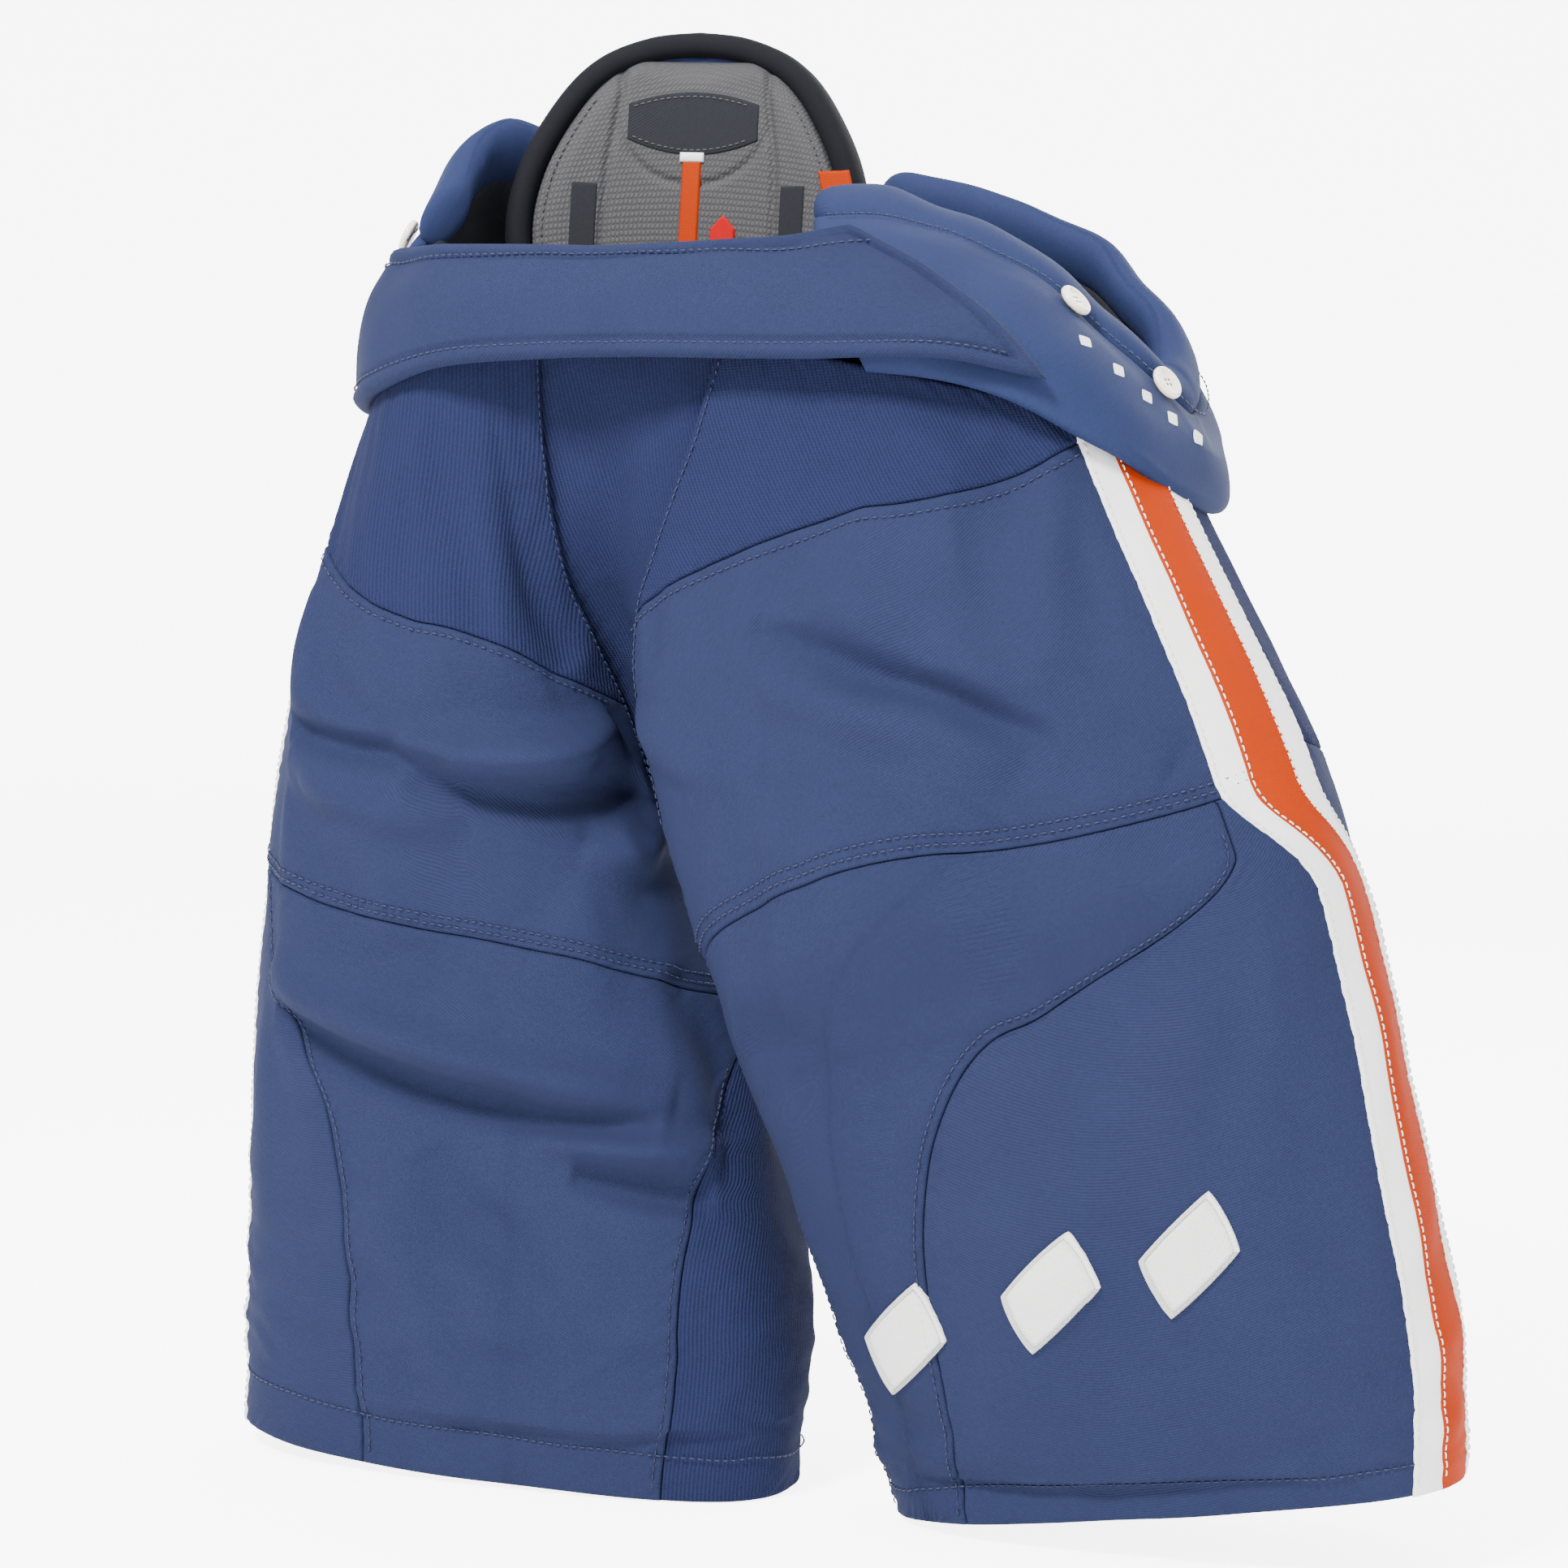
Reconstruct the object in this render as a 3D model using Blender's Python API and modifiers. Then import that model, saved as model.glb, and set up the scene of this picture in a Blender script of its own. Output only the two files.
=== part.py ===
"""Padded ice-hockey pants, standing on their two leg hems.

Metres, +Z up, the front faces -Y and the wearer's left is +X. The origin is
the bottom centre of the whole object. Each leg is a padded tube: fabric
panels outside, a plastic plate and foam guards inside them, then a mesh liner.
The waist carries the wrap, two hip wings, the tailbone pad and the spine pad.
"""
import math

import bmesh
import bpy
from mathutils import Matrix, Vector

# ---- driving dimensions ----------------------------------------------------
ORIGIN = Vector((0.0112, 0.0023, 0.0))
SECTION_POWER = 2.7          # how square a leg's flattened section is
FABRIC = 0.0020              # outer shell fabric with its backing
SEAM_GAP = 0.0025            # space between two panels along a seam
LEG_LENGTH = 0.53            # a leg's length from waist to hem
PLATE_DEPTH = 0.0095         # thigh plate below the outer surface
PLATE = 0.0016
FOAM_DEPTH = 0.0135          # foam guards below the outer surface
FOAM = 0.0090
LINER_DEPTH = 0.0260
LINER = 0.0010
HEM_TOP = 0.962              # hem band's top, in shares of the leg's length
HEM = 0.0045
STRIPE_HALF = 0.030          # half the side stripe's width
STRIPE_LEAD = {1: 0.038, -1: 0.006}  # each stripe's top, ahead of the side line
CENTRE_HALF = 0.0125         # half its middle colour's width
ROWS = 34                    # steps round a whole leg
CROTCH = 0.300               # the crotch, in shares of the leg's length
RIM = 0.0085                 # radius of the roll along a hip wing's top
TAIL_X = -0.125              # the tailbone pad's middle

# Stations down each leg: z, x, y, half width, half depth, yaw, tilt (degrees)
LEFT_LEG = (
    (0.556, 0.024, 0.000, 0.142, 0.088, 8, -10),
    (0.470, 0.039, -0.012, 0.160, 0.086, 8, -4),
    (0.390, 0.068, -0.017, 0.168, 0.082, 8, 0),
    (0.290, 0.103, -0.014, 0.165, 0.078, 8, 4),
    (0.195, 0.133, -0.003, 0.156, 0.072, 8, 7),
    (0.100, 0.159, 0.012, 0.149, 0.066, 8, 9),
    (0.0222, 0.173, 0.020, 0.141, 0.060, 8, 9),
)
RIGHT_LEG = (
    (0.566, -0.210, -0.008, 0.066, 0.089, 12, -8),
    (0.470, -0.216, -0.012, 0.074, 0.094, 13, -4),
    (0.390, -0.220, -0.009, 0.094, 0.091, 13, 0),
    (0.290, -0.209, 0.000, 0.122, 0.084, 12, 2),
    (0.195, -0.191, -0.004, 0.142, 0.076, 10, 4),
    (0.095, -0.177, -0.012, 0.151, 0.070, 8, 2),
    (0.000, -0.176, -0.018, 0.150, 0.064, 8, 0),
)

# Rows of the waist's parts: stations run round the body, low, middle, top
WRAP_LOW = ((-0.303, 0.036, 0.548), (-0.303, -0.025, 0.541), (-0.262, -0.090, 0.546),
            (-0.190, -0.116, 0.556), (-0.100, -0.114, 0.562), (0.000, -0.112, 0.561),
            (0.085, -0.106, 0.556), (0.150, -0.080, 0.544))
WRAP_MID = ((-0.298, 0.034, 0.585), (-0.298, -0.022, 0.581), (-0.259, -0.086, 0.586),
            (-0.188, -0.112, 0.593), (-0.104, -0.110, 0.597), (-0.012, -0.108, 0.597),
            (0.060, -0.103, 0.596), (0.104, -0.089, 0.594))
WRAP_TOP = ((-0.282, 0.030, 0.622), (-0.283, -0.018, 0.624), (-0.247, -0.070, 0.627),
            (-0.184, -0.094, 0.627), (-0.110, -0.093, 0.627), (-0.040, -0.090, 0.630),
            (0.002, -0.087, 0.634), (0.028, -0.082, 0.637))
LEFT_LOW = ((0.030, -0.090, 0.566), (0.085, -0.088, 0.563), (0.140, -0.066, 0.550),
            (0.180, -0.016, 0.524), (0.184, 0.038, 0.515), (0.158, 0.084, 0.525),
            (0.095, 0.108, 0.540), (0.010, 0.108, 0.552), (-0.055, 0.106, 0.560))
LEFT_MID = ((0.000, -0.074, 0.622), (0.050, -0.070, 0.622), (0.112, -0.050, 0.606),
            (0.160, -0.016, 0.570), (0.178, 0.034, 0.545), (0.152, 0.080, 0.560),
            (0.090, 0.106, 0.585), (0.010, 0.111, 0.605), (-0.055, 0.111, 0.612))
LEFT_TOP = ((-0.030, -0.012, 0.660), (0.022, -0.014, 0.662), (0.085, -0.008, 0.640),
            (0.135, 0.004, 0.604), (0.160, 0.030, 0.572), (0.142, 0.070, 0.590),
            (0.085, 0.096, 0.622), (0.012, 0.104, 0.648), (-0.050, 0.108, 0.660))
RIGHT_LOW = ((-0.165, 0.108, 0.562), (-0.200, 0.104, 0.560), (-0.268, 0.088, 0.556),
             (-0.289, 0.052, 0.550), (-0.289, 0.010, 0.548), (-0.281, -0.036, 0.552))
RIGHT_MID = ((-0.165, 0.113, 0.612), (-0.200, 0.108, 0.612), (-0.256, 0.092, 0.612),
             (-0.279, 0.055, 0.612), (-0.280, 0.014, 0.606), (-0.272, -0.030, 0.600))
RIGHT_TOP = ((-0.165, 0.108, 0.658), (-0.198, 0.102, 0.664), (-0.232, 0.084, 0.676),
             (-0.256, 0.054, 0.684), (-0.263, 0.022, 0.668), (-0.254, -0.012, 0.642))

# Spine pad: half outline, across and up from its foot, and how it leans
LEG_PIVOT_LEFT = Vector((0.030, 0.0, 0.500))
LEG_PIVOT_RIGHT = Vector((-0.215, 0.0, 0.500))
SPINE_FOOT = Vector((-0.140, 0.056, 0.560))
SPINE_YAW = 14.0
SPINE_LEAN = -6.0            # the top leans back
SPINE_HALF = ((0.052, 0.000), (0.074, 0.030), (0.086, 0.075), (0.082, 0.112),
              (0.066, 0.146), (0.048, 0.167), (0.024, 0.178), (0.000, 0.181))
SPINE_CURL = 1.9             # how strongly the pad wraps round the back
SPINE_CORE = 0.014
EDGE_OUT = 0.0070             # the edge binding's line outside the pad

# ---- colours: base colour, roughness, metallic -----------------------------
NAVY = ((0.073, 0.107, 0.235, 1), 0.75, 0.0)
KNIT = ((0.038, 0.063, 0.160, 1), 0.85, 0.0)
WHITE = ((0.88, 0.88, 0.85, 1), 0.55, 0.0)
ORANGE = ((0.90, 0.16, 0.02, 1), 0.60, 0.0)
RED = ((0.80, 0.06, 0.05, 1), 0.60, 0.0)
GREY = ((0.150, 0.145, 0.150, 1), 0.80, 0.0)
BLACK = ((0.020, 0.022, 0.028, 1), 0.70, 0.0)
FOAM_WHITE = ((0.62, 0.62, 0.60, 1), 0.90, 0.0)
PLASTIC = ((0.30, 0.31, 0.33, 1), 0.40, 0.0)
PEARL = ((0.76, 0.70, 0.64, 1), 0.30, 0.0)


def clear_scene():
    for thing in list(bpy.data.objects):
        bpy.data.objects.remove(thing, do_unlink=True)


def material(name, look):
    """A Principled material with one colour, roughness and metallic value."""
    made = bpy.data.materials.get(name)
    if made:
        return made
    made = bpy.data.materials.new(name)
    made.use_nodes = True
    shader = made.node_tree.nodes["Principled BSDF"]
    shader.inputs["Base Color"].default_value = look[0]
    shader.inputs["Roughness"].default_value = look[1]
    shader.inputs["Metallic"].default_value = look[2]
    return made


def smooth_point(points, share):
    """The point at a share of a smooth curve through the given points."""
    last = len(points) - 1
    place = min(max(share, 0.0), 1.0) * last
    i = min(int(place), last - 1)
    f = place - i
    row = []
    for a, b, c, d in zip(points[max(i - 1, 0)], points[i], points[i + 1],
                          points[min(i + 2, last)]):
        bend = (2 * a - 5 * b + 4 * c - d) * f + (3 * b - a - 3 * c + d) * f * f
        row.append(0.5 * (2 * b + (c - a) * f + bend * f))
    return row


def rounded(value, power):
    return math.copysign(abs(value) ** power, value)


def leg_point(side, u, v, inset=0.0):
    """A point on a leg: u turns from lateral to front to medial, v runs down."""
    stations = LEFT_LEG if side > 0 else RIGHT_LEG
    z, x, y, wide, deep, yaw, tilt = smooth_point(stations, v)
    yaw, tilt = math.radians(yaw), math.radians(tilt)
    across = rounded(math.cos(math.tau * u), 2 / SECTION_POWER) * (wide - inset)
    ahead = rounded(math.sin(math.tau * u), 2 / SECTION_POWER) * (deep - inset)
    out = Vector((side * math.cos(yaw) * math.cos(tilt),
                  side * math.sin(yaw) * math.cos(tilt), math.sin(tilt)))
    front = Vector((math.sin(yaw), -math.cos(yaw), 0.0))
    return Vector((x, y, z)) + out * across + front * ahead


# ---- seams, as heights (v) round the leg, or as turns (u) down it ----------
def yoke_seam(side, u):
    """Bottom of the front stretch yoke, rising towards the outer side."""
    low, high = (0.270, -0.040) if side > 0 else (0.330, 0.110)
    return max(high + (low - high) * 2 * u, 0.030)


def thigh_seam(side, u):
    """Bottom of the front thigh panel, rising towards the outer side."""
    low, high = (0.510, 0.295) if side > 0 else (0.550, 0.455)
    return high + (low - high) * 2 * u


def seat_seam(u):
    """Bottom of the rear stretch seat panel."""
    return 0.30 + 0.05 * math.cos(math.tau * (u - 0.75))


def side_seam(side, v):
    """The curved seam between the lower front and lower side panels."""
    turns, top = ((0.130, 0.235, 0.290, 0.323, 0.338, 0.350), 0.40) if side > 0 else (
        (0.075, 0.105, 0.165, 0.185, 0.191, 0.198), 0.46)
    return smooth_point([(turn,) for turn in turns], (v - top) / (0.97 - top))[0]


def front_inner_edge(v):
    """Inner edge of the front panels: it opens out towards the crotch."""
    turns = (0.335, 0.350, 0.385, 0.425, 0.452, 0.465)
    return smooth_point([(turn,) for turn in turns], v / 0.40)[0]


def gusset_edge(side, v):
    """Front edge of the knit inner gusset, which widens below the thigh seam."""
    turns = (0.490, 0.488, 0.484, 0.480, 0.478) if side > 0 else (0.485, 0.405, 0.362, 0.350, 0.346)
    return smooth_point([(turn,) for turn in turns], (v - 0.56) / 0.40)[0]


def stripe_turn(side, v, offset):
    """The turn at a distance in front of the side stripe's middle line."""
    stations = LEFT_LEG if side > 0 else RIGHT_LEG
    deep = smooth_point(stations, v)[4]
    share = min(max((v - 0.32) / 0.13, 0.0), 1.0)
    jog = STRIPE_LEAD[side] - 0.024 * share * share * (3 - 2 * share)
    ahead = jog + offset
    share = min(max(ahead / deep, -0.999), 0.999)
    return math.asin(rounded(share, SECTION_POWER / 2)) / math.tau


# ---- mesh builders ---------------------------------------------------------
def add_object(name, mesh, look, collection):
    mesh.materials.append(material(look_name(look), look))
    made = bpy.data.objects.new(name, mesh)
    made.location = ORIGIN
    collection.objects.link(made)
    mesh.shade_smooth()
    mesh.set_sharp_from_angle(angle=math.radians(40))
    return made


def look_name(look):
    for name, value in globals().items():
        if value is look:
            return name.lower()
    return "finish"


def open_sheet(name, rows, look, collection, closed=False, flip=False):
    """An open surface through rows of points; closed joins each row's ends."""
    mesh = bpy.data.meshes.new(name)
    bm = bmesh.new()
    verts = [[bm.verts.new(point) for point in row] for row in rows]
    for upper, lower in zip(verts, verts[1:]):
        count = len(upper)
        for i in range(count if closed else count - 1):
            j = (i + 1) % count
            corners = (upper[i], upper[j], lower[j], lower[i])
            bm.faces.new(corners if flip else corners[::-1])
    bm.to_mesh(mesh)
    bm.free()
    return add_object(name, mesh, look, collection)


def thicken(piece, thickness, offset=-1.0):
    shell = piece.modifiers.new("thickness", "SOLIDIFY")
    shell.thickness = thickness
    shell.offset = offset
    return piece


def leg_panel(name, side, edges, depth, thickness, look, collection):
    """A panel of a leg between edges: turn limits by v, and v limits by u."""
    turn_low, turn_high, v_low, v_high = edges
    middle_v = 0.5 * (v_low(0.25) + v_high(0.25))
    span = max(turn_high(v) - turn_low(v) for v in (v_low(0.25), middle_v, v_high(0.25)))
    columns = max(2, math.ceil(span * ROWS))
    lines = max(2, round((v_high(0.25) - v_low(0.25)) * 12))
    rows = []
    for j in range(lines + 1):
        row = []
        for i in range(columns + 1):
            share = i / columns
            v = middle_v
            for _ in range(6):
                u = turn_low(v) + (turn_high(v) - turn_low(v)) * share
                v = v_low(u) + (v_high(u) - v_low(u)) * j / lines
            row.append(leg_point(side, u, v, depth))
        rows.append(row)
    return thicken(open_sheet(name, rows, look, collection, flip=side > 0), thickness)


def leg_ring(name, side, v_low, v_high, depth, thickness, look, collection, lines=2):
    """A closed band round a leg."""
    rows = []
    for j in range(lines + 1):
        v = v_low + (v_high - v_low) * j / lines
        rows.append([leg_point(side, i / ROWS, v, depth) for i in range(ROWS)])
    ring = open_sheet(name, rows, look, collection, closed=True, flip=side > 0)
    return thicken(ring, thickness)


def loft_point(lines, s, t, depth=0.0):
    """A point of a wall through three rows of stations, and below its surface."""
    def surface(s, t):
        a, b, c = (Vector(smooth_point(line, s)) for line in lines)
        return a * (1 - t) * (1 - 2 * t) + b * 4 * t * (1 - t) + c * t * (2 * t - 1)

    place = surface(s, t)
    if depth:
        step = 0.01
        along = surface(min(s + step, 1), t) - surface(max(s - step, 0), t)
        up = surface(s, t + step) - surface(s, t - step)
        place = place - along.cross(up).normalized() * depth
    return place


def waist_wall(name, lines, span, rise, depth, thickness, look, collection,
               columns=14, steps=4):
    """A curved wall of the waist; span runs round the body and rise runs up."""
    rows = []
    for j in range(steps + 1):
        t = rise[1] + (rise[0] - rise[1]) * j / steps
        rows.append([loft_point(lines, span[0] + (span[1] - span[0]) * i / columns,
                                t, depth) for i in range(columns + 1)])
    return thicken(open_sheet(name, rows, look, collection), thickness)


def tube(name, points, radius, look, collection):
    """A round bar along points, with closed ends."""
    curve = bpy.data.curves.new(name, "CURVE")
    curve.dimensions = "3D"
    curve.bevel_depth = radius
    curve.bevel_resolution = 1
    curve.use_fill_caps = True
    line = curve.splines.new("POLY")
    line.points.add(len(points) - 1)
    for knot, point in zip(line.points, points):
        knot.co = (*point, 1.0)
    curve.materials.append(material(look_name(look), look))
    made = bpy.data.objects.new(name, curve)
    made.location = ORIGIN
    collection.objects.link(made)
    return made


# ---- the spine pad's own frame ---------------------------------------------
def spine_point(across, up, back=0.0):
    """A point of the spine pad: across its face, up from its foot, and behind."""
    yaw, lean = math.radians(SPINE_YAW), math.radians(SPINE_LEAN)
    depth = back - SPINE_CURL * across * across
    high = up * math.cos(lean) + depth * math.sin(lean)
    deep = -up * math.sin(lean) + depth * math.cos(lean)
    return SPINE_FOOT + Vector((across * math.cos(yaw) - deep * math.sin(yaw),
                                across * math.sin(yaw) + deep * math.cos(yaw), high))


def spine_outline(steps=36):
    """Half the pad's outline as (across, up) points, from foot to crown."""
    return [smooth_point(SPINE_HALF, k / steps) for k in range(steps + 1)]


def spine_half_width(up):
    """Half the pad's width at a height above its foot."""
    outline = spine_outline()
    for low, high in zip(outline, outline[1:]):
        if up <= high[1]:
            return low[0] + (high[0] - low[0]) * (up - low[1]) / (high[1] - low[1])
    return 0.0


def spine_sheet(name, left, right, low, high, back, thickness, look, collection,
                columns=10, steps=8):
    """A sheet of the spine pad; left and right give its edges at a height."""
    rows = []
    for j in range(steps + 1):
        up = low + (high - low) * math.cos(math.pi / 2 * j / steps)
        rows.append([spine_point(left(up) + (right(up) - left(up)) * i / columns, up, back)
                     for i in range(columns + 1)])
    return thicken(open_sheet(name, rows, look, collection), thickness)


# ---- sub-assemblies --------------------------------------------------------
def build_leg(side, parts):
    tag = "left" if side > 0 else "right"
    half_gap = SEAM_GAP / LEG_LENGTH / 2

    def panel(name, turns, heights, depth, thickness, look):
        edges = (*turns, *heights)
        return leg_panel(f"{name}_{tag}", side, edges, depth, thickness, look, parts)

    def front_of_stripe(v):
        return stripe_turn(side, v, STRIPE_HALF + 3 * SEAM_GAP)

    def behind_stripe(v):
        return stripe_turn(side, v, -STRIPE_HALF - 5 * SEAM_GAP) + 1.0

    def level(v):
        return lambda u: v

    hem_line = level(HEM_TOP - 2 * half_gap)
    panel("yoke_panel", (front_of_stripe, front_inner_edge),
          (level(0.0), lambda u: yoke_seam(side, u) - half_gap), 0.0, FABRIC, KNIT)
    panel("thigh_panel", (front_of_stripe, front_inner_edge),
          (lambda u: yoke_seam(side, u) + half_gap,
           lambda u: thigh_seam(side, u) - half_gap), 0.0, FABRIC, NAVY)
    panel("lower_front_panel",
          (lambda v: max(side_seam(side, v), front_of_stripe(v)) + 0.013,
           lambda v: gusset_edge(side, v) - 0.020),
          (lambda u: thigh_seam(side, u) + half_gap, hem_line), 0.0, FABRIC, NAVY)
    panel("lower_side_panel",
          (front_of_stripe, lambda v: max(side_seam(side, v) - 0.010, front_of_stripe(v) + 0.006)),
          (lambda u: thigh_seam(side, u) + half_gap, hem_line), 0.0, FABRIC, NAVY)
    panel("inner_gusset",
          (lambda v: gusset_edge(side, v) + 0.006, level(0.596)),
          (level(CROTCH + 0.10), hem_line), 0.0, FABRIC, KNIT)
    panel("seat_panel", (level(0.640), behind_stripe),
          (level(0.0), lambda u: seat_seam(u) - half_gap), 0.0, FABRIC, KNIT)
    panel("rear_thigh_panel", (level(0.604), behind_stripe),
          (lambda u: seat_seam(u) + half_gap, hem_line), 0.0, FABRIC, NAVY)
    panel("side_stripe",
          (lambda v: stripe_turn(side, v, -STRIPE_HALF),
           lambda v: stripe_turn(side, v, STRIPE_HALF)),
          (level(0.08), hem_line), 0.0004, FABRIC, WHITE)
    panel("stripe_center",
          (lambda v: stripe_turn(side, v, -CENTRE_HALF),
           lambda v: stripe_turn(side, v, CENTRE_HALF)),
          (level(0.10), level(HEM_TOP - 0.01)), -0.0024, 0.0010, ORANGE)
    leg_ring(f"hem_band_{tag}", side, HEM_TOP, 1.0, 0.0, HEM, NAVY, parts)
    panel("thigh_guard_plate", (level(0.170), level(0.335)),
          (level(0.26), level(0.90)), PLATE_DEPTH, PLATE, PLASTIC)
    panel("thigh_guard_foam", (level(0.085), level(0.375)),
          (level(0.22), level(0.945)), FOAM_DEPTH, FOAM, FOAM_WHITE)
    panel("side_guard_foam", (level(-0.065), level(0.065)),
          (level(0.22), level(0.945)), FOAM_DEPTH, FOAM, FOAM_WHITE)
    panel("inner_guard_foam", (level(0.410), level(0.590)),
          (level(0.50), level(0.945)), FOAM_DEPTH, FOAM, FOAM_WHITE)
    panel("rear_guard_foam", (level(0.625), level(0.915)),
          (level(0.30), level(0.945)), FOAM_DEPTH, FOAM, FOAM_WHITE)
    leg_ring(f"leg_liner_{tag}", side, 0.20, 0.985, LINER_DEPTH, LINER, BLACK, parts, 5)


def build_centre(parts):
    """The knit fly in front, the seat gusset and tailbone pad behind."""
    rows = []
    for j in range(7):
        v = 0.26 * j / 6
        right = leg_point(-1, front_inner_edge(v) + 0.035, v, 0.004)
        left = leg_point(1, front_inner_edge(v) + 0.035, v, 0.004)
        row = []
        for i in range(7):
            share = i / 6
            place = right.lerp(left, share)
            place.y += 0.012 * math.sin(math.pi * share) * (1 - 0.5 * j / 6)
            row.append(place)
        rows.append(row)
    thicken(open_sheet("fly_panel", rows, KNIT, parts), FABRIC)
    for name, depth, thick, look, low, high, half in (
            ("tailbone_pad", 0.106, 0.0100, FOAM_WHITE, 0.400, 0.545, 0.055),
            ("seat_gusset", 0.110, FABRIC, NAVY, 0.385, 0.550, 0.066)):
        rows = []
        for j in range(7):
            z = high + (low - high) * j / 6
            wide = half * (1 - 0.35 * (j / 6) ** 2)
            rows.append([Vector((TAIL_X - wide + 2 * wide * i / 8,
                                 depth - 2.2 * (wide * (i / 4 - 1)) ** 2, z))
                         for i in range(9)])
        thicken(open_sheet(name, rows, look, parts, flip=True), thick)


def build_waist(parts):
    wrap = (WRAP_LOW, WRAP_MID, WRAP_TOP)
    waist_wall("waist_wrap", wrap, (0, 1), (0, 1), 0.0, FABRIC, NAVY, parts, 24)
    waist_wall("wrap_foam", wrap, (0.16, 0.90), (0.12, 0.90), FABRIC + 0.0020, 0.0040,
               FOAM_WHITE, parts, 18, 3)
    for tag, lines in (("left", (LEFT_LOW, LEFT_MID, LEFT_TOP)),
                       ("right", (RIGHT_LOW, RIGHT_MID, RIGHT_TOP))):
        count = 24 if tag == "left" else 14
        waist_wall(f"hip_cover_{tag}", lines, (0, 1), (0, 1), 0.0, FABRIC, NAVY, parts,
                   count, 5)
        waist_wall(f"hip_pad_{tag}", lines, (0.03, 0.97), (0.24, 0.93),
                   FABRIC + 0.0022, 0.0100, FOAM_WHITE, parts, count, 5)
        top = []
        for i in range(25):
            s = 0.01 + 0.98 * i / 24
            edge = loft_point(lines, s, 1.0, 0.007)
            under = loft_point(lines, s, 0.93, 0.007)
            top.append(edge + (edge - under).normalized() * (RIM + 0.0050))
        tube(f"hip_rim_{tag}", top, RIM, NAVY, parts)


def build_spine(parts):
    def across(share, inset=0.0):
        return lambda up: share * (spine_half_width(up) - inset)

    def steady(value):
        return lambda up: value

    top = SPINE_HALF[-1][1] - 0.0008
    spine_sheet("spine_pad_core", across(-1), across(1), 0.0, top, 0.0, SPINE_CORE,
                BLACK, parts, 8, 12)
    half = spine_outline(18)[1:-1]
    ring = [(-x, up) for x, up in half] + [(0.0, SPINE_HALF[-1][1])] + half[::-1]
    edge = []
    for before, here, after in zip(ring, ring[1:], ring[2:]):
        run = Vector((after[0] - before[0], after[1] - before[1])).normalized()
        edge.append(spine_point(here[0] - run.y * EDGE_OUT, here[1] + run.x * EDGE_OUT,
                                SPINE_CORE * 0.4))
    tube("spine_pad_binding", edge, 0.0055, BLACK, parts)
    spine_sheet("spine_pad_liner", across(-1, 0.007), across(1, 0.007), 0.004,
                0.171, -0.0036, 0.0030, GREY, parts)
    face = -0.0056
    spine_sheet("spine_top_patch", steady(-0.034), steady(0.034), 0.128, 0.158, face,
                0.0014, BLACK, parts, 6, 3)
    for tag, sign in (("left", 1), ("right", -1)):
        edges = sorted((sign * 0.046, sign * 0.062))
        spine_sheet(f"spine_inset_{tag}", steady(edges[0]), steady(edges[1]), 0.055,
                    0.105, face, 0.0014, BLACK, parts, 3, 4)
    spine_sheet("spine_strip", steady(-0.0050), steady(0.0050), 0.040, 0.120, face,
                0.0014, ORANGE, parts, 2, 6)
    spine_sheet("spine_red_tag", steady(0.012), steady(0.026), 0.045, 0.075, face,
                0.0014, RED, parts, 2, 3)
    spine_sheet("spine_pull_tab", across(1, -0.002), across(1, -0.012), 0.085, 0.120,
                -0.0022, 0.0014, ORANGE, parts, 2, 4)


def build_fittings(parts):
    """Suspender buttons on the rims, and the inner belt with its buckle."""
    sides = {"left": (LEFT_LOW, LEFT_MID, LEFT_TOP), "right": (RIGHT_LOW, RIGHT_MID, RIGHT_TOP)}
    for name, tag, s, t in (("front", "left", 0.300, 0.86), ("side", "left", 0.425, 0.84),
                            ("back", "left", 0.800, 0.84), ("front", "right", 0.900, 0.80),
                            ("side", "right", 0.670, 0.84), ("back", "right", 0.250, 0.84)):
        base = loft_point(sides[tag], s, t, -0.0008)
        out = (base - loft_point(sides[tag], s, t, 0.004)).normalized()
        mesh = bpy.data.meshes.new(f"suspender_button_{name}_{tag}")
        bm = bmesh.new()
        bmesh.ops.create_cone(bm, cap_ends=True, segments=16, radius1=0.0085,
                              radius2=0.0070, depth=0.0035)
        turn = out.to_track_quat("Z", "Y")
        for vert in bm.verts:
            vert.co = base + turn @ (vert.co + Vector((0, 0, 0.0022)))
        bm.to_mesh(mesh)
        bm.free()
        add_object(mesh.name, mesh, PEARL, parts)
    wrap = (WRAP_LOW, WRAP_MID, WRAP_TOP)
    waist_wall("belt_webbing", wrap, (0.18, 0.72), (0.40, 0.72), 0.0110, 0.0018,
               BLACK, parts, 12, 2)
    waist_wall("belt_buckle", wrap, (0.44, 0.54), (0.34, 0.78), 0.0140, 0.0050,
               PLASTIC, parts, 3, 2)


def hang(name, place, collection, belongs):
    """An empty on a joint's axis that carries the pieces of one moving part."""
    pivot = bpy.data.objects.new(name, None)
    pivot.empty_display_size = 0.03
    pivot.location = ORIGIN + place
    collection.objects.link(pivot)
    for piece in [thing for thing in collection.objects if belongs(thing.name)]:
        piece.parent = pivot
        piece.matrix_parent_inverse = Matrix.Translation(-pivot.location)


def leg_node(tag):
    """A test for the names of one leg's pieces."""
    others = ("hip_", "suspender_", "spine_", "leg_pivot")
    return lambda name: name.endswith(f"_{tag}") and not name.startswith(others)


def main():
    clear_scene()
    parts = bpy.data.collections.new("hockey_pants")
    bpy.context.scene.collection.children.link(parts)
    build_leg(1, parts)
    build_leg(-1, parts)
    build_centre(parts)
    build_waist(parts)
    build_spine(parts)
    build_fittings(parts)
    hang("leg_pivot_left", LEG_PIVOT_LEFT, parts, leg_node("left"))
    hang("leg_pivot_right", LEG_PIVOT_RIGHT, parts, leg_node("right"))
    hang("spine_pivot", SPINE_FOOT, parts,
         lambda name: name.startswith("spine_") and name != "spine_pivot")


main()
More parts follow.
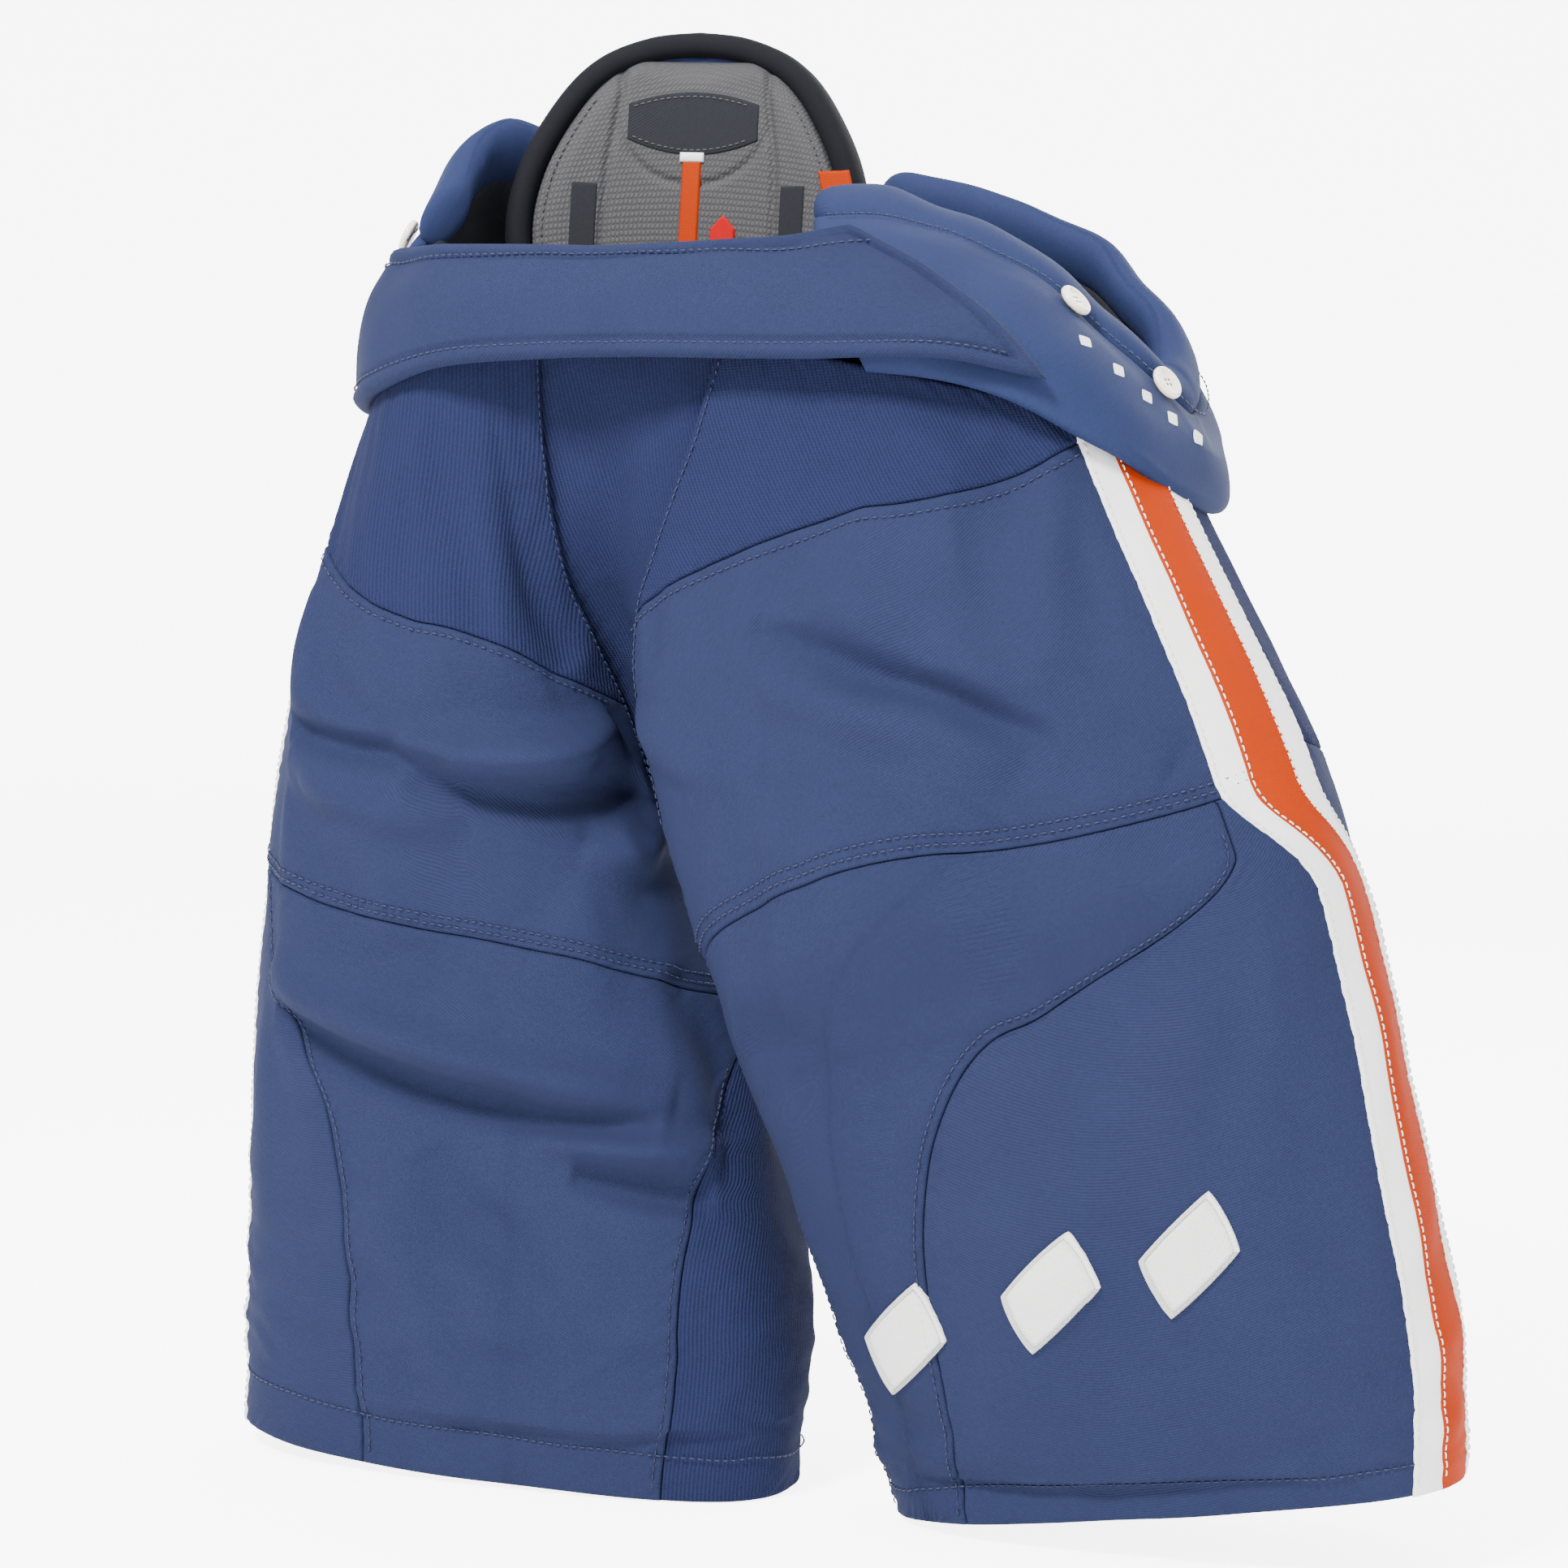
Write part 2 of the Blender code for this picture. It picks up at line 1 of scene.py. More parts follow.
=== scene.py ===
"""Looks for the padded hockey pants: fabric, folds, seams, stitching, padding and trim.

Everything is in the CAD model's frame: metres, +Z up, the front faces -Y. A surface is
a grid of points with normals; panels, stitches and embroidery are laid on it.
"""
import math
from functools import partial

import bpy
import numpy as np
from mathutils import Matrix, Vector


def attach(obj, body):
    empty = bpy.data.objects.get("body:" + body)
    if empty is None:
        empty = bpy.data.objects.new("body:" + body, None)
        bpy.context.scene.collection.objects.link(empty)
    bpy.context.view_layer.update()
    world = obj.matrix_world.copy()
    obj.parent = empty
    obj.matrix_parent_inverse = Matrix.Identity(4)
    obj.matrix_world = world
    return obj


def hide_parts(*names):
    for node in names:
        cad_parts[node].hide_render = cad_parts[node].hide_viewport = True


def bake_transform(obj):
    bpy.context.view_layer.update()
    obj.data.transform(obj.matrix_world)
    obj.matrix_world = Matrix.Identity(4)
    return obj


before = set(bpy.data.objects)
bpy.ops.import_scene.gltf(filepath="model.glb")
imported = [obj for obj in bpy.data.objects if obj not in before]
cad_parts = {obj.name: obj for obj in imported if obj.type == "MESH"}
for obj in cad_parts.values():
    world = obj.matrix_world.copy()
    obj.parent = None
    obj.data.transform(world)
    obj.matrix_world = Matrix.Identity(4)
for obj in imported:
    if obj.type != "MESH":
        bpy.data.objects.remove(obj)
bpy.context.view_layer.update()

# ---- shape, as in the CAD model --------------------------------------------
ORIGIN = np.array((0.0112, 0.0023, 0.0))
SECTION_POWER = 2.7
STRIPE_HALF = 0.03
CENTRE_HALF = 0.0135
STRIPE_LEAD = {1: 0.0475, -1: 0.006}
STRIPE_DRIFT = {1: 0.0315, -1: 0.01}
STRIPE_ROWS = {}  # filled as stripe_turn is asked
TUCK = 0.0034
FOLD_DEPTH = {1: 3.0, -1: 2.8}
VALLEY = 0.0105
SLACK_LIMIT = 0.009
HEM_RISE = {1: 0.004, -1: 0.028}

# z, x, y, half width, half depth, yaw, tilt
LEFT_LEG = np.array((
    (0.57, 0.016, 0.0, 0.126, 0.086, 8, -10),
    (0.47, 0.038, -0.012, 0.159, 0.086, 8, -4),
    (0.39, 0.068, -0.017, 0.168, 0.082, 8, 0),
    (0.29, 0.103, -0.014, 0.165, 0.078, 8, 4),
    (0.195, 0.133, -0.003, 0.156, 0.072, 8, 7),
    (0.1, 0.159, 0.012, 0.149, 0.066, 8, 9),
    (0.0222, 0.173, 0.02, 0.141, 0.06, 8, 9),
))
RIGHT_LEG = np.array((
    (0.578, -0.203, -0.008, 0.06, 0.089, 12, -8),
    (0.47, -0.216, -0.012, 0.074, 0.094, 13, -4),
    (0.39, -0.22, -0.009, 0.094, 0.091, 13, 0),
    (0.29, -0.209, 0.0, 0.122, 0.084, 12, 2),
    (0.195, -0.191, -0.004, 0.142, 0.076, 10, 4),
    (0.095, -0.177, -0.012, 0.151, 0.07, 8, 2),
    (0.0, -0.176, -0.018, 0.15, 0.064, 8, 0),
))
# low, middle and top line of each waist wall, in millimetres
WRAP_LINES = (
    ((-281, 36, 548), (-281, -25, 541), (-248, -90, 548), (-188, -114, 564), (-100, -112, 570),
     (0, -110, 571), (72, -105, 573), (122, -88, 565)),
    ((-277, 34, 585), (-277, -22, 581), (-246, -86, 587), (-186, -110, 596), (-104, -108, 600),
     (-12, -106, 601), (46, -102, 603), (84, -90, 603)),
    ((-264, 30, 622), (-265, -18, 624), (-238, -70, 627), (-184, -94, 627), (-110, -93, 627),
     (-40, -90, 630), (-4, -87, 634), (18, -83, 637)),
)
HIP_LINES = {
    1: (
        ((30, -90, 566), (85, -88, 560), (135, -68, 540), (165, -18, 514), (168, 36, 505),
         (150, 82, 518), (95, 108, 540), (10, 108, 552), (-55, 106, 560)),
        ((0, -74, 615), (50, -70, 612), (106, -52, 592), (146, -18, 557), (162, 32, 534),
         (145, 78, 552), (90, 106, 585), (10, 111, 605), (-55, 111, 612)),
        ((-36, -12, 650), (10, -14, 652), (72, -10, 628), (120, 2, 590), (146, 28, 560),
         (136, 68, 580), (85, 96, 622), (12, 104, 648), (-50, 108, 660)),
    ),
    -1: (
        ((-165, 108, 562), (-200, 104, 560), (-268, 88, 556), (-289, 52, 550), (-289, 10, 548),
         (-281, -36, 552)),
        ((-165, 113, 612), (-200, 108, 612), (-256, 92, 612), (-279, 55, 612), (-280, 14, 606),
         (-272, -30, 600)),
        ((-165, 108, 658), (-198, 102, 664), (-232, 84, 676), (-256, 54, 684), (-263, 22, 668),
         (-254, -12, 642)),
    ),
}
SPINE_FOOT = np.array((-0.14, 0.056, 0.56))
SPINE_YAW = math.radians(14.0)
SPINE_LEAN = math.radians(-6.0)
SPINE_CURL = 1.9
SPINE_HALF = ((0.052, 0.0), (0.074, 0.03), (0.086, 0.075), (0.082, 0.112),
              (0.066, 0.146), (0.048, 0.167), (0.024, 0.178), (0.0, 0.181))

# ---- seams, folds and small parts ------------------------------------------
# folds: (points along the line, height, half width), in thousandths and millimetres
LEG_FOLDS = {
    1: (
        (((285, 165), (245, 215), (200, 265), (150, 320)), 4, 9),
        (((310, 215), (260, 255), (205, 305)), -4.5, 6),
        (((330, 245), (270, 290), (225, 330)), 2.5, 10),
        (((440, 300), (380, 340), (320, 350)), 3, 9),
        (((430, 540), (360, 560), (300, 620)), -2.5, 12),
        (((240, 640), (260, 750), (300, 860)), 2, 18),
        (((130, 560), (150, 680), (150, 800)), -2, 14),
        (((400, 930), (300, 950), (180, 940)), -2, 8),
        (((880, 250), (800, 300), (700, 290)), 4, 12),
        (((660, 420), (740, 470), (860, 450)), -4, 11),
        (((900, 600), (800, 640), (700, 620)), 3.5, 13),
        (((640, 760), (740, 800), (850, 780)), -3, 12),
    ),
    -1: (
        (((230, 345), (300, 352), (360, 348), (420, 325)), 8, 7.5),
        (((240, 376), (310, 384), (370, 381), (440, 370)), -10, 4.8),
        (((110, 335), (180, 352), (260, 360)), -6, 5),
        (((110, 370), (180, 388), (260, 410)), 4, 9),
        (((350, 415), (410, 425), (450, 400)), 4.5, 8),
        (((105, 555), (180, 585), (270, 618), (370, 630)), 5.5, 9),
        (((120, 600), (190, 630), (270, 655), (350, 660)), -6.8, 5.8),
        (((270, 668), (330, 672), (410, 672)), 5, 7),
        (((290, 700), (340, 708), (390, 712)), -6, 5.5),
        (((235, 700), (255, 780), (290, 870)), -4, 10),
        (((205, 740), (225, 830), (250, 920)), 3, 12),
        (((400, 520), (430, 600), (420, 660)), -4, 8),
        (((100, 180), (120, 260), (130, 330)), 2.5, 9),
        (((330, 110), (350, 180), (390, 260)), -3.5, 8),
        (((880, 300), (800, 340), (680, 320)), 5, 12),
        (((650, 440), (740, 480), (860, 460)), -5, 11),
        (((900, 600), (800, 630), (700, 620)), 4, 13),
        (((640, 740), (740, 780), (850, 760)), -3.5, 12),
    ),
}
FLY_FOLDS = (
    (((150, 100), (450, 300), (500, 650)), -3, 8),
    (((850, 100), (620, 350), (560, 700)), 3, 8),
    (((300, 450), (500, 600), (720, 550)), -2.5, 6),
)
WRAP_FOLDS = (
    (((300, 100), (340, 450), (330, 900)), -1.5, 12),
    (((550, 900), (600, 500), (580, 100)), 1.4, 14),
    (((780, 50), (800, 400), (840, 800)), -1.6, 10),
)
HIP_FOLDS = {
    1: (
        (((100, 200), (160, 450), (200, 750)), -2, 12),
        (((340, 50), (380, 350), (440, 650)), -1.8, 16),
        (((500, 700), (580, 400), (600, 100)), -2.2, 12),
    ),
    -1: (
        (((600, 100), (640, 400), (600, 750)), -2, 12),
        (((860, 200), (840, 450), (880, 700)), -1.8, 10),
    ),
}
HEM_ROWS = ((0.955, -0.0062), (0.975, -0.0064), (0.992, -0.0066), (0.9985, -0.0056),
            (1.0, -0.0036))
GUARD_FOAMS = (
    ("thigh_guard_foam", (0.085, 0.375), (0.22, 0.945)),
    ("side_guard_foam", (-0.065, 0.065), (0.22, 0.945)),
    ("inner_guard_foam", (0.41, 0.59), (0.5, 0.945)),
    ("rear_guard_foam", (0.625, 0.915), (0.3, 0.945)),
)
BUTTON_PROFILE = ((0.003, 0.0026), (0.0052, 0.0028), (0.0062, 0.0036), (0.007, 0.0039),
                  (0.0078, 0.0036), (0.0084, 0.0026), (0.0084, 0.0012), (0.0076, 0.0002))
CLOTH_SETTINGS = {
    "quality": 6, "mass": 0.12, "tension_stiffness": 22.0, "compression_stiffness": 22.0,
    "shear_stiffness": 9.0, "bending_stiffness": 1.4, "air_damping": 4.0,
    "vertex_group_mass": "hold", "shrink_min": -0.05,
}
STRIPE_TOP = 0.03
INNER_TURN = 0.478
PLATE_DEPTH = -0.0148
FOAM_DEPTH = -0.0198
LINER_INSET = 0.0262
THREAD_LONG = 0.7  # a stitch, as a share of the distance between stitches
THREAD_RADIUS = 0.00042
DIAMOND_POWER = 1.12
BUTTON_HEIGHT = 0.8
RIM_FOOT = 0.86
TAIL_X = -0.125
SPINE_FACE = 0.0058
NUDGE = 1e-3
MM = 0.001
ALL = (0.0, 1.0)  # limits from one edge of a surface to the other

# ---- the photograph's viewing angle ----------------------------------------
VIEW_AZIMUTH = math.radians(25.0)
VIEW_HEIGHT = math.radians(4.0)
VIEW_ROLL = math.radians(2.0)
VIEW_DISTANCE = 2.0
VIEW_LENS = 90.5
VIEW_TARGET = Vector((-0.035, 0.0023, 0.361))

# ---- colours (linear) ------------------------------------------------------
NAVY = (0.0132, 0.0176, 0.0465)
HIP = (0.014, 0.0206, 0.059)
KNIT = (0.0105, 0.0138, 0.042)
THREAD = (0.013, 0.017, 0.048)
WHITE = (0.94, 0.94, 0.9)
ORANGE = (0.27, 0.022, 0.0005)
RED = (0.33, 0.004, 0.006)
GREY = (0.044, 0.043, 0.046)
CHARCOAL = (0.015, 0.0155, 0.019)
BLACK = (0.0055, 0.006, 0.008)
CREAM = (0.9, 0.9, 0.82)
PEARL = (0.8, 0.72, 0.6)
FOAM = (0.7, 0.68, 0.6)
# painted shade: the dark colour of the flat discs that stand for the button holes
HOLE_SHADE = (0.1, 0.09, 0.085)
PLASTIC = (0.06, 0.062, 0.068)
PALE_THREAD = (0.7, 0.7, 0.64)


# ---- numbers and curves ----------------------------------------------------
def smooth_rows(points, share):
    """Points of a smooth curve through rows of numbers, at an array of shares."""
    points = np.asarray(points, float)
    if points.ndim == 1:
        points = points[:, None]
    last = len(points) - 1
    place = np.clip(share, 0.0, 1.0) * last
    i = np.minimum(place.astype(int), last - 1)
    f = (place - i)[..., None]
    a, b = points[np.maximum(i - 1, 0)], points[i]
    c, d = points[i + 1], points[np.minimum(i + 2, last)]
    bend = (2 * a - 5 * b + 4 * c - d) * f + (3 * b - a - 3 * c + d) * f * f
    return 0.5 * (2 * b + (c - a) * f + bend * f)


def smooth_value(values, share):
    return smooth_rows(values, np.asarray(share, float))[..., 0]


def stacked(*parts):
    """Coordinates side by side; plain numbers spread to the arrays' shape."""
    return np.stack(np.broadcast_arrays(*parts), -1)


def rounded(value, power):
    return np.sign(value) * np.abs(value) ** power


def ease(low, high, value):
    """Goes smoothly from 0 at low to 1 at high, either way round."""
    t = np.clip((value - low) / (high - low), 0.0, 1.0)
    return t * t * (3 - 2 * t)


def unit(vectors):
    return vectors / np.maximum(np.linalg.norm(vectors, axis=-1, keepdims=True), 1e-12)


class Surface:
    """A grid of points over two coordinates, with normals, folds and sampling."""

    def __init__(self, place, counts, a_span=(0, 1), b_span=(0, 1), wrap=False, facing=-1):
        self.a_span, self.b_span, self.wrap, self.facing = a_span, b_span, wrap, facing
        a = np.linspace(*a_span, counts[0], endpoint=not wrap)
        b = np.linspace(*b_span, counts[1])
        self.a, self.b = np.meshgrid(a, b)
        self.points = place(self.a, self.b)
        self.find_normals()

    def find_normals(self):
        if self.wrap:
            along = np.roll(self.points, -1, 1) - np.roll(self.points, 1, 1)
        else:
            along = np.gradient(self.points, axis=1)
        down = np.gradient(self.points, axis=0)
        self.normals = unit(np.cross(down, along)) * self.facing

    def push(self, height):
        self.points = self.points + self.normals * height[..., None]
        self.find_normals()

    def at(self, a, b, out=0.0):
        """Points at coordinates, a distance out along the normal."""
        place, normal = self.sample(a, b)
        return place + normal * np.asarray(out)[..., None]

    def sample(self, a, b):
        """Points and unit normals at coordinates."""
        place, normal = self.mix((self.points, self.normals), a, b)
        return place, unit(normal)

    def mix(self, grids, a, b):
        rows, columns = self.a.shape
        steps = columns if self.wrap else columns - 1
        x = (np.asarray(a, float) - self.a_span[0]) / (self.a_span[1] - self.a_span[0]) * steps
        y = (np.asarray(b, float) - self.b_span[0]) / (self.b_span[1] - self.b_span[0])
        y = np.clip(y * (rows - 1), 0, rows - 1.0001)
        if not self.wrap:
            x = np.clip(x, 0, columns - 1.0001)
        i, j = np.floor(x).astype(int), np.floor(y).astype(int)
        fx, fy = (x - i)[..., None], (y - j)[..., None]
        i0, i1 = (i % columns, (i + 1) % columns) if self.wrap else (i, i + 1)
        found = []
        for grid in grids:
            top = grid[j, i0] * (1 - fx) + grid[j, i1] * fx
            low = grid[j + 1, i0] * (1 - fx) + grid[j + 1, i1] * fx
            found.append(top * (1 - fy) + low * fy)
        return found

    def walk(self, a, b, right, up, steps=8):
        """Coordinates reached from (a, b) by going some metres right and up."""
        a, b = a + 0 * right, b + 0 * right
        for _ in range(steps):
            here = self.at(a, b)
            along = (self.at(a + NUDGE, b) - here) / NUDGE
            down = (self.at(a, b + NUDGE) - here) / NUDGE
            normal = unit(np.cross(down, along))
            across = unit(np.array((1.0, 0.0, 0.0)) - normal * normal[..., :1])
            rise = np.cross(across, normal)
            rise = rise * np.sign(rise[..., 2:3])
            step = (across * right[..., None] + rise * up[..., None]) / steps
            aa, dd, ad = (along ** 2).sum(-1), (down ** 2).sum(-1), (along * down).sum(-1)
            ra, rd = (step * along).sum(-1), (step * down).sum(-1)
            det = aa * dd - ad * ad
            a = a + (ra * dd - rd * ad) / det
            b = b + (rd * aa - ra * ad) / det
        return a, b


def fold_heights(surface, folds):
    """Ridges (+) and valleys (-) along lines on a surface."""
    height = np.zeros(surface.a.shape)
    for line, rise, width in folds:
        spots = smooth_rows(line, np.linspace(0, 1, 25)) / 1000
        track = surface.at(spots[:, 0], spots[:, 1])
        nearest = np.full(surface.a.shape, 1e9)
        share = np.zeros(surface.a.shape)
        for k in range(len(track) - 1):
            run = track[k + 1] - track[k]
            t = np.clip(((surface.points - track[k]) @ run) / (run @ run), 0, 1)
            gap = ((surface.points - track[k] - t[..., None] * run) ** 2).sum(-1)
            closer = gap < nearest
            nearest = np.where(closer, gap, nearest)
            share = np.where(closer, (k + t) / (len(track) - 1), share)
        fade = np.sin(np.pi * np.clip(share, 0.0, 1.0)) ** 0.7
        height += rise * MM * fade * np.exp(-nearest / (2 * (width * MM) ** 2))
    return height


def ripple(surface, seed, size, rise):
    """Soft random swells, the same on each run."""
    rng = np.random.default_rng(seed)
    height = np.zeros(surface.a.shape)
    for _ in range(24):
        way = unit(rng.normal(size=3))
        pitch = size * rng.uniform(0.6, 1.6)
        height += np.sin(surface.points @ way * math.tau / pitch + rng.uniform(0, math.tau))
    return height * rise / 5.0


# ---- the legs' surfaces ----------------------------------------------------
def leg_place(side, inset=0.0):
    stations = LEFT_LEG if side > 0 else RIGHT_LEG

    def place(u, v):
        outer = (0.5 + 0.5 * np.cos(math.tau * u)) ** 2
        v = v - HEM_RISE[side] * outer * ease(0.45, 1.0, v)
        z, x, y, wide, deep, yaw, tilt = np.moveaxis(smooth_rows(stations, v), -1, 0)
        yaw, tilt = np.radians(yaw), np.radians(tilt)
        across = rounded(np.cos(math.tau * u), 2 / SECTION_POWER) * (wide - inset)
        ahead = rounded(np.sin(math.tau * u), 2 / SECTION_POWER) * (deep - inset)
        out = stacked(side * np.cos(yaw) * np.cos(tilt), side * np.sin(yaw) * np.cos(tilt),
                      np.sin(tilt))
        front = stacked(np.sin(yaw), -np.cos(yaw), 0)
        return (stacked(x, y, z) + out * across[..., None] + front * ahead[..., None]
                + ORIGIN)

    return place


def yoke_seam(side, u):
    low, high = (0.27, -0.04) if side > 0 else (0.33, 0.11)
    return np.maximum(high + (low - high) * 2 * u, 0.03)


def thigh_seam(side, u):
    low, high = (0.51, 0.295) if side > 0 else (0.55, 0.455)
    return high + (low - high) * 2 * u


def seat_seam(u):
    return 0.3 + 0.05 * np.cos(math.tau * (u - 0.75))


def side_seam(side, v):
    turns, top = ((0.13, 0.235, 0.29, 0.323, 0.338, 0.35), 0.4) if side > 0 else (
        (0.075, 0.105, 0.165, 0.185, 0.191, 0.198), 0.46)
    return smooth_value(turns, (v - top) / (0.97 - top))


def front_inner_edge(v):
    turns = (0.335, 0.35, 0.385, 0.425, 0.452, 0.465)
    return smooth_value(turns, np.asarray(v) / 0.4)


def gusset_edge(side, v):
    turns = (0.49, 0.488, 0.484, 0.48, 0.478) if side > 0 else (
        0.485, 0.405, 0.362, 0.35, 0.346)
    return smooth_value(turns, (np.asarray(v) - 0.56) / 0.4)


def stripe_turn(side, v, offset):
    """The turn at a distance along the skin in front of the stripe's middle line."""
    if (side, offset) not in STRIPE_ROWS:
        turns = np.linspace(-0.22, 0.28, 501)
        heights = np.linspace(0.0, 1.0, 81)
        u, down = np.meshgrid(turns, heights)
        around = lengths(leg_place(side)(u, down), 1)
        deep = smooth_rows(LEFT_LEG if side > 0 else RIGHT_LEG, heights)[:, 4]
        lead = STRIPE_LEAD[side] - STRIPE_DRIFT[side] * ease(0.34, 0.43, heights)
        middle = np.arcsin(rounded(lead / deep, SECTION_POWER / 2)) / math.tau
        STRIPE_ROWS[side, offset] = np.array([
            np.interp(np.interp(m, turns, row) + offset, row, turns)
            for m, row in zip(middle, around)])
    return np.interp(v, np.linspace(0.0, 1.0, 81), STRIPE_ROWS[side, offset])


def lengths(points, axis):
    """Distance along the grid lines from their start."""
    steps = np.linalg.norm(np.diff(points, axis=axis), axis=-1)
    pad = [(0, 0), (0, 0)]
    pad[axis] = (1, 0)
    return np.pad(np.cumsum(steps, axis=axis), pad)


# ---- meshes ----------------------------------------------------------------
PIECE = "_piece"  # ends the name of each piece that is made here
CELL = 0.0031
EDGE_ROWS = (0.0007, 0.0015, 0.0025)
GATHER = 0.00045
FLAT = {}  # each panel's width, length and area in metres


def new_object(name, verts, faces, uvs=None, look=None, smooth=True):
    """A mesh object; uvs holds one pair for each vertex."""
    name = f"{name}{PIECE}"
    mesh = bpy.data.meshes.new(name)
    mesh.from_pydata(np.reshape(verts, (-1, 3)).tolist(), [], faces)
    if uvs is not None:
        layer = mesh.uv_layers.new(name="weave")
        index = np.empty(len(mesh.loops), int)
        mesh.loops.foreach_get("vertex_index", index)
        layer.data.foreach_set("uv", np.reshape(uvs, (-1, 2)).astype(np.float32)[index].ravel())
    if smooth:
        mesh.shade_smooth()
    made = bpy.data.objects.new(name, mesh)
    bpy.context.scene.collection.objects.link(made)
    if look:
        mesh.materials.append(look)
    return made


def grid_faces(rows, columns, flip=False, wrap=False):
    faces = []
    for j in range(rows - 1):
        for i in range(columns if wrap else columns - 1):
            near, far = j * columns, (j + 1) * columns
            k = (i + 1) % columns
            face = [near + i, near + k, far + k, far + i]
            faces.append(face[::-1] if flip else face)
    return faces


def tube_faces(rows, sides, flip=False):
    """Faces of a tube of rings, with both ends capped."""
    caps = [list(range(sides))[::-1], list(range((rows - 1) * sides, rows * sides))]
    return grid_faces(rows, sides, flip, wrap=True) + [c[::-1] if flip else c for c in caps]


def rings(middle, first, second, sides, power=(1, 1)):
    """Rings of points about a line, from two half-width vectors at each of its points."""
    angle = np.arange(sides) / sides * math.tau
    across = rounded(np.cos(angle), power[0])[None, :, None] * first[:, None]
    return middle[:, None] + across + (
        rounded(np.sin(angle), power[1])[None, :, None] * second[:, None])


def grid_uvs(points):
    """Weave coordinates in metres along both ways of a grid."""
    return stacked(lengths(points, 1), lengths(points, 0))


def spaced(length, cell, edge):
    """Shares along a length: close together at both ends, even between."""
    near = [e / length for e in edge if e < length * 0.2]
    start = near[-1] if near else 0.0
    count = max(2, round(length * (1 - 2 * start) / cell))
    inner = np.linspace(start, 1 - start, count + 1)
    return np.array([0.0] + near[:-1] + list(inner) + [1 - n for n in near[:-1][::-1]] + [1.0])


def limit(value):
    """A panel's limit as a function; a plain number is the same all along."""
    return value if callable(value) else lambda x: value + 0 * x


def region(surface, turns, heights, cell, edge=EDGE_ROWS):
    """Coordinates of a panel's grid between its turn and height limits."""
    (a_low, a_high), (b_low, b_high) = map(limit, turns), map(limit, heights)
    s, t = np.meshgrid(np.linspace(0, 1, 9), np.linspace(0, 1, 9))

    def solve(s, t):
        b = 0.5 * (b_low(0.25 + 0 * s) + b_high(0.25 + 0 * s))
        for _ in range(8):
            a = a_low(b) + (a_high(b) - a_low(b)) * s
            b = b_low(a) + (b_high(a) - b_low(a)) * t
        return a, b

    rough = surface.at(*solve(s, t))
    wide = lengths(rough, 1)[:, -1].max()
    tall = lengths(rough, 0)[-1].max()
    s, t = np.meshgrid(spaced(wide, cell, edge), spaced(tall, cell, edge))
    return solve(s, t)


def edge_distance(points):
    """Distance to the nearest edge of a grid, and distances along its two ways."""
    across, down = lengths(points, 1), lengths(points, 0)
    return np.minimum.reduce((across, across[:, -1:] - across, down, down[-1:] - down)), across, down


def pucker(across, down, gap, size):
    """Small gathers beside a sewn edge."""
    way = across + down
    wave = np.sin(way * math.tau / 0.0091) + 0.6 * np.sin(way * math.tau / 0.0153 + 1.3)
    return size * wave * np.exp(-np.maximum(gap - 0.003, 0) / 0.007)


def turned(across, down, grain):
    """Weave coordinates in metres, turned by the cloth's grain."""
    return stacked(across * math.cos(grain) - down * math.sin(grain),
                   across * math.sin(grain) + down * math.cos(grain))


def surface_area(points):
    one = points[1:, 1:] - points[:-1, :-1]
    two = points[1:, :-1] - points[:-1, 1:]
    return float(np.linalg.norm(np.cross(one, two), axis=-1).sum() / 2)


def panel(name, surface, turns, heights, look, out=0.0, cell=CELL, roll=0.0026, drop=0.0022,
          height=None, grain=0.0, gathers=GATHER, skirt=0.0045):
    """A fabric panel laid on a surface, its edges turned under."""
    a, b = region(surface, turns, heights, cell)
    gap, across, down = edge_distance(surface.at(a, b))
    t = 1 - np.clip(gap / roll, 0, 1)
    lift = out - drop * (1 - np.sqrt(1 - t * t)) + pucker(across, down, gap, gathers) * (1 - t)
    if height:
        lift = lift + height(a, b, gap)
    border = ((1, 1), (1, 1), (0, 0))
    grid = np.pad(surface.at(a, b, np.minimum(lift, out) - skirt), border, "edge")
    grid[1:-1, 1:-1] = surface.at(a, b, lift)
    uv = np.pad(turned(across, down, grain), border, "edge")
    made = new_object(name, grid, grid_faces(*grid.shape[:2], surface.facing > 0), uv, look)
    FLAT[made.name] = *(float(lengths(grid, k).max()) for k in (1, 0)), surface_area(grid)
    return made


def slab(name, surface, turns, heights, look, middle, thickness, cell=0.0036, height=None,
         roll=None):
    """A padded closed form about a surface, thin and rounded at its edges."""
    edge = tuple(thickness * k for k in (0.05, 0.16, 0.32, 0.5))
    a, b = region(surface, turns, heights, cell, edge)
    gap, across, down = edge_distance(surface.at(a, b))
    near = np.clip(gap / (roll or thickness / 2), 0, 1)
    half = thickness / 2 * np.sqrt(1 - (1 - near) ** 2)
    rise = height(a, b, gap) * near if height else 0.0
    face = surface.at(a, b, middle + half + rise).reshape(-1, 3)
    back = surface.at(a, b, middle - half).reshape(-1, 3)
    # both sides share the vertices of the rim
    inside = np.zeros(a.shape, bool)
    inside[1:-1, 1:-1] = True
    inside = inside.ravel()
    joined = np.where(inside, a.size + np.cumsum(inside) - 1, np.arange(a.size)).tolist()
    flip = surface.facing > 0
    faces = grid_faces(*a.shape, flip) + [[joined[k] for k in one]
                                          for one in grid_faces(*a.shape, not flip)]
    uv = stacked(across, down).reshape(-1, 2)
    return new_object(name, np.concatenate((face, back[inside])), faces,
                      np.concatenate((uv, uv[inside])), look)


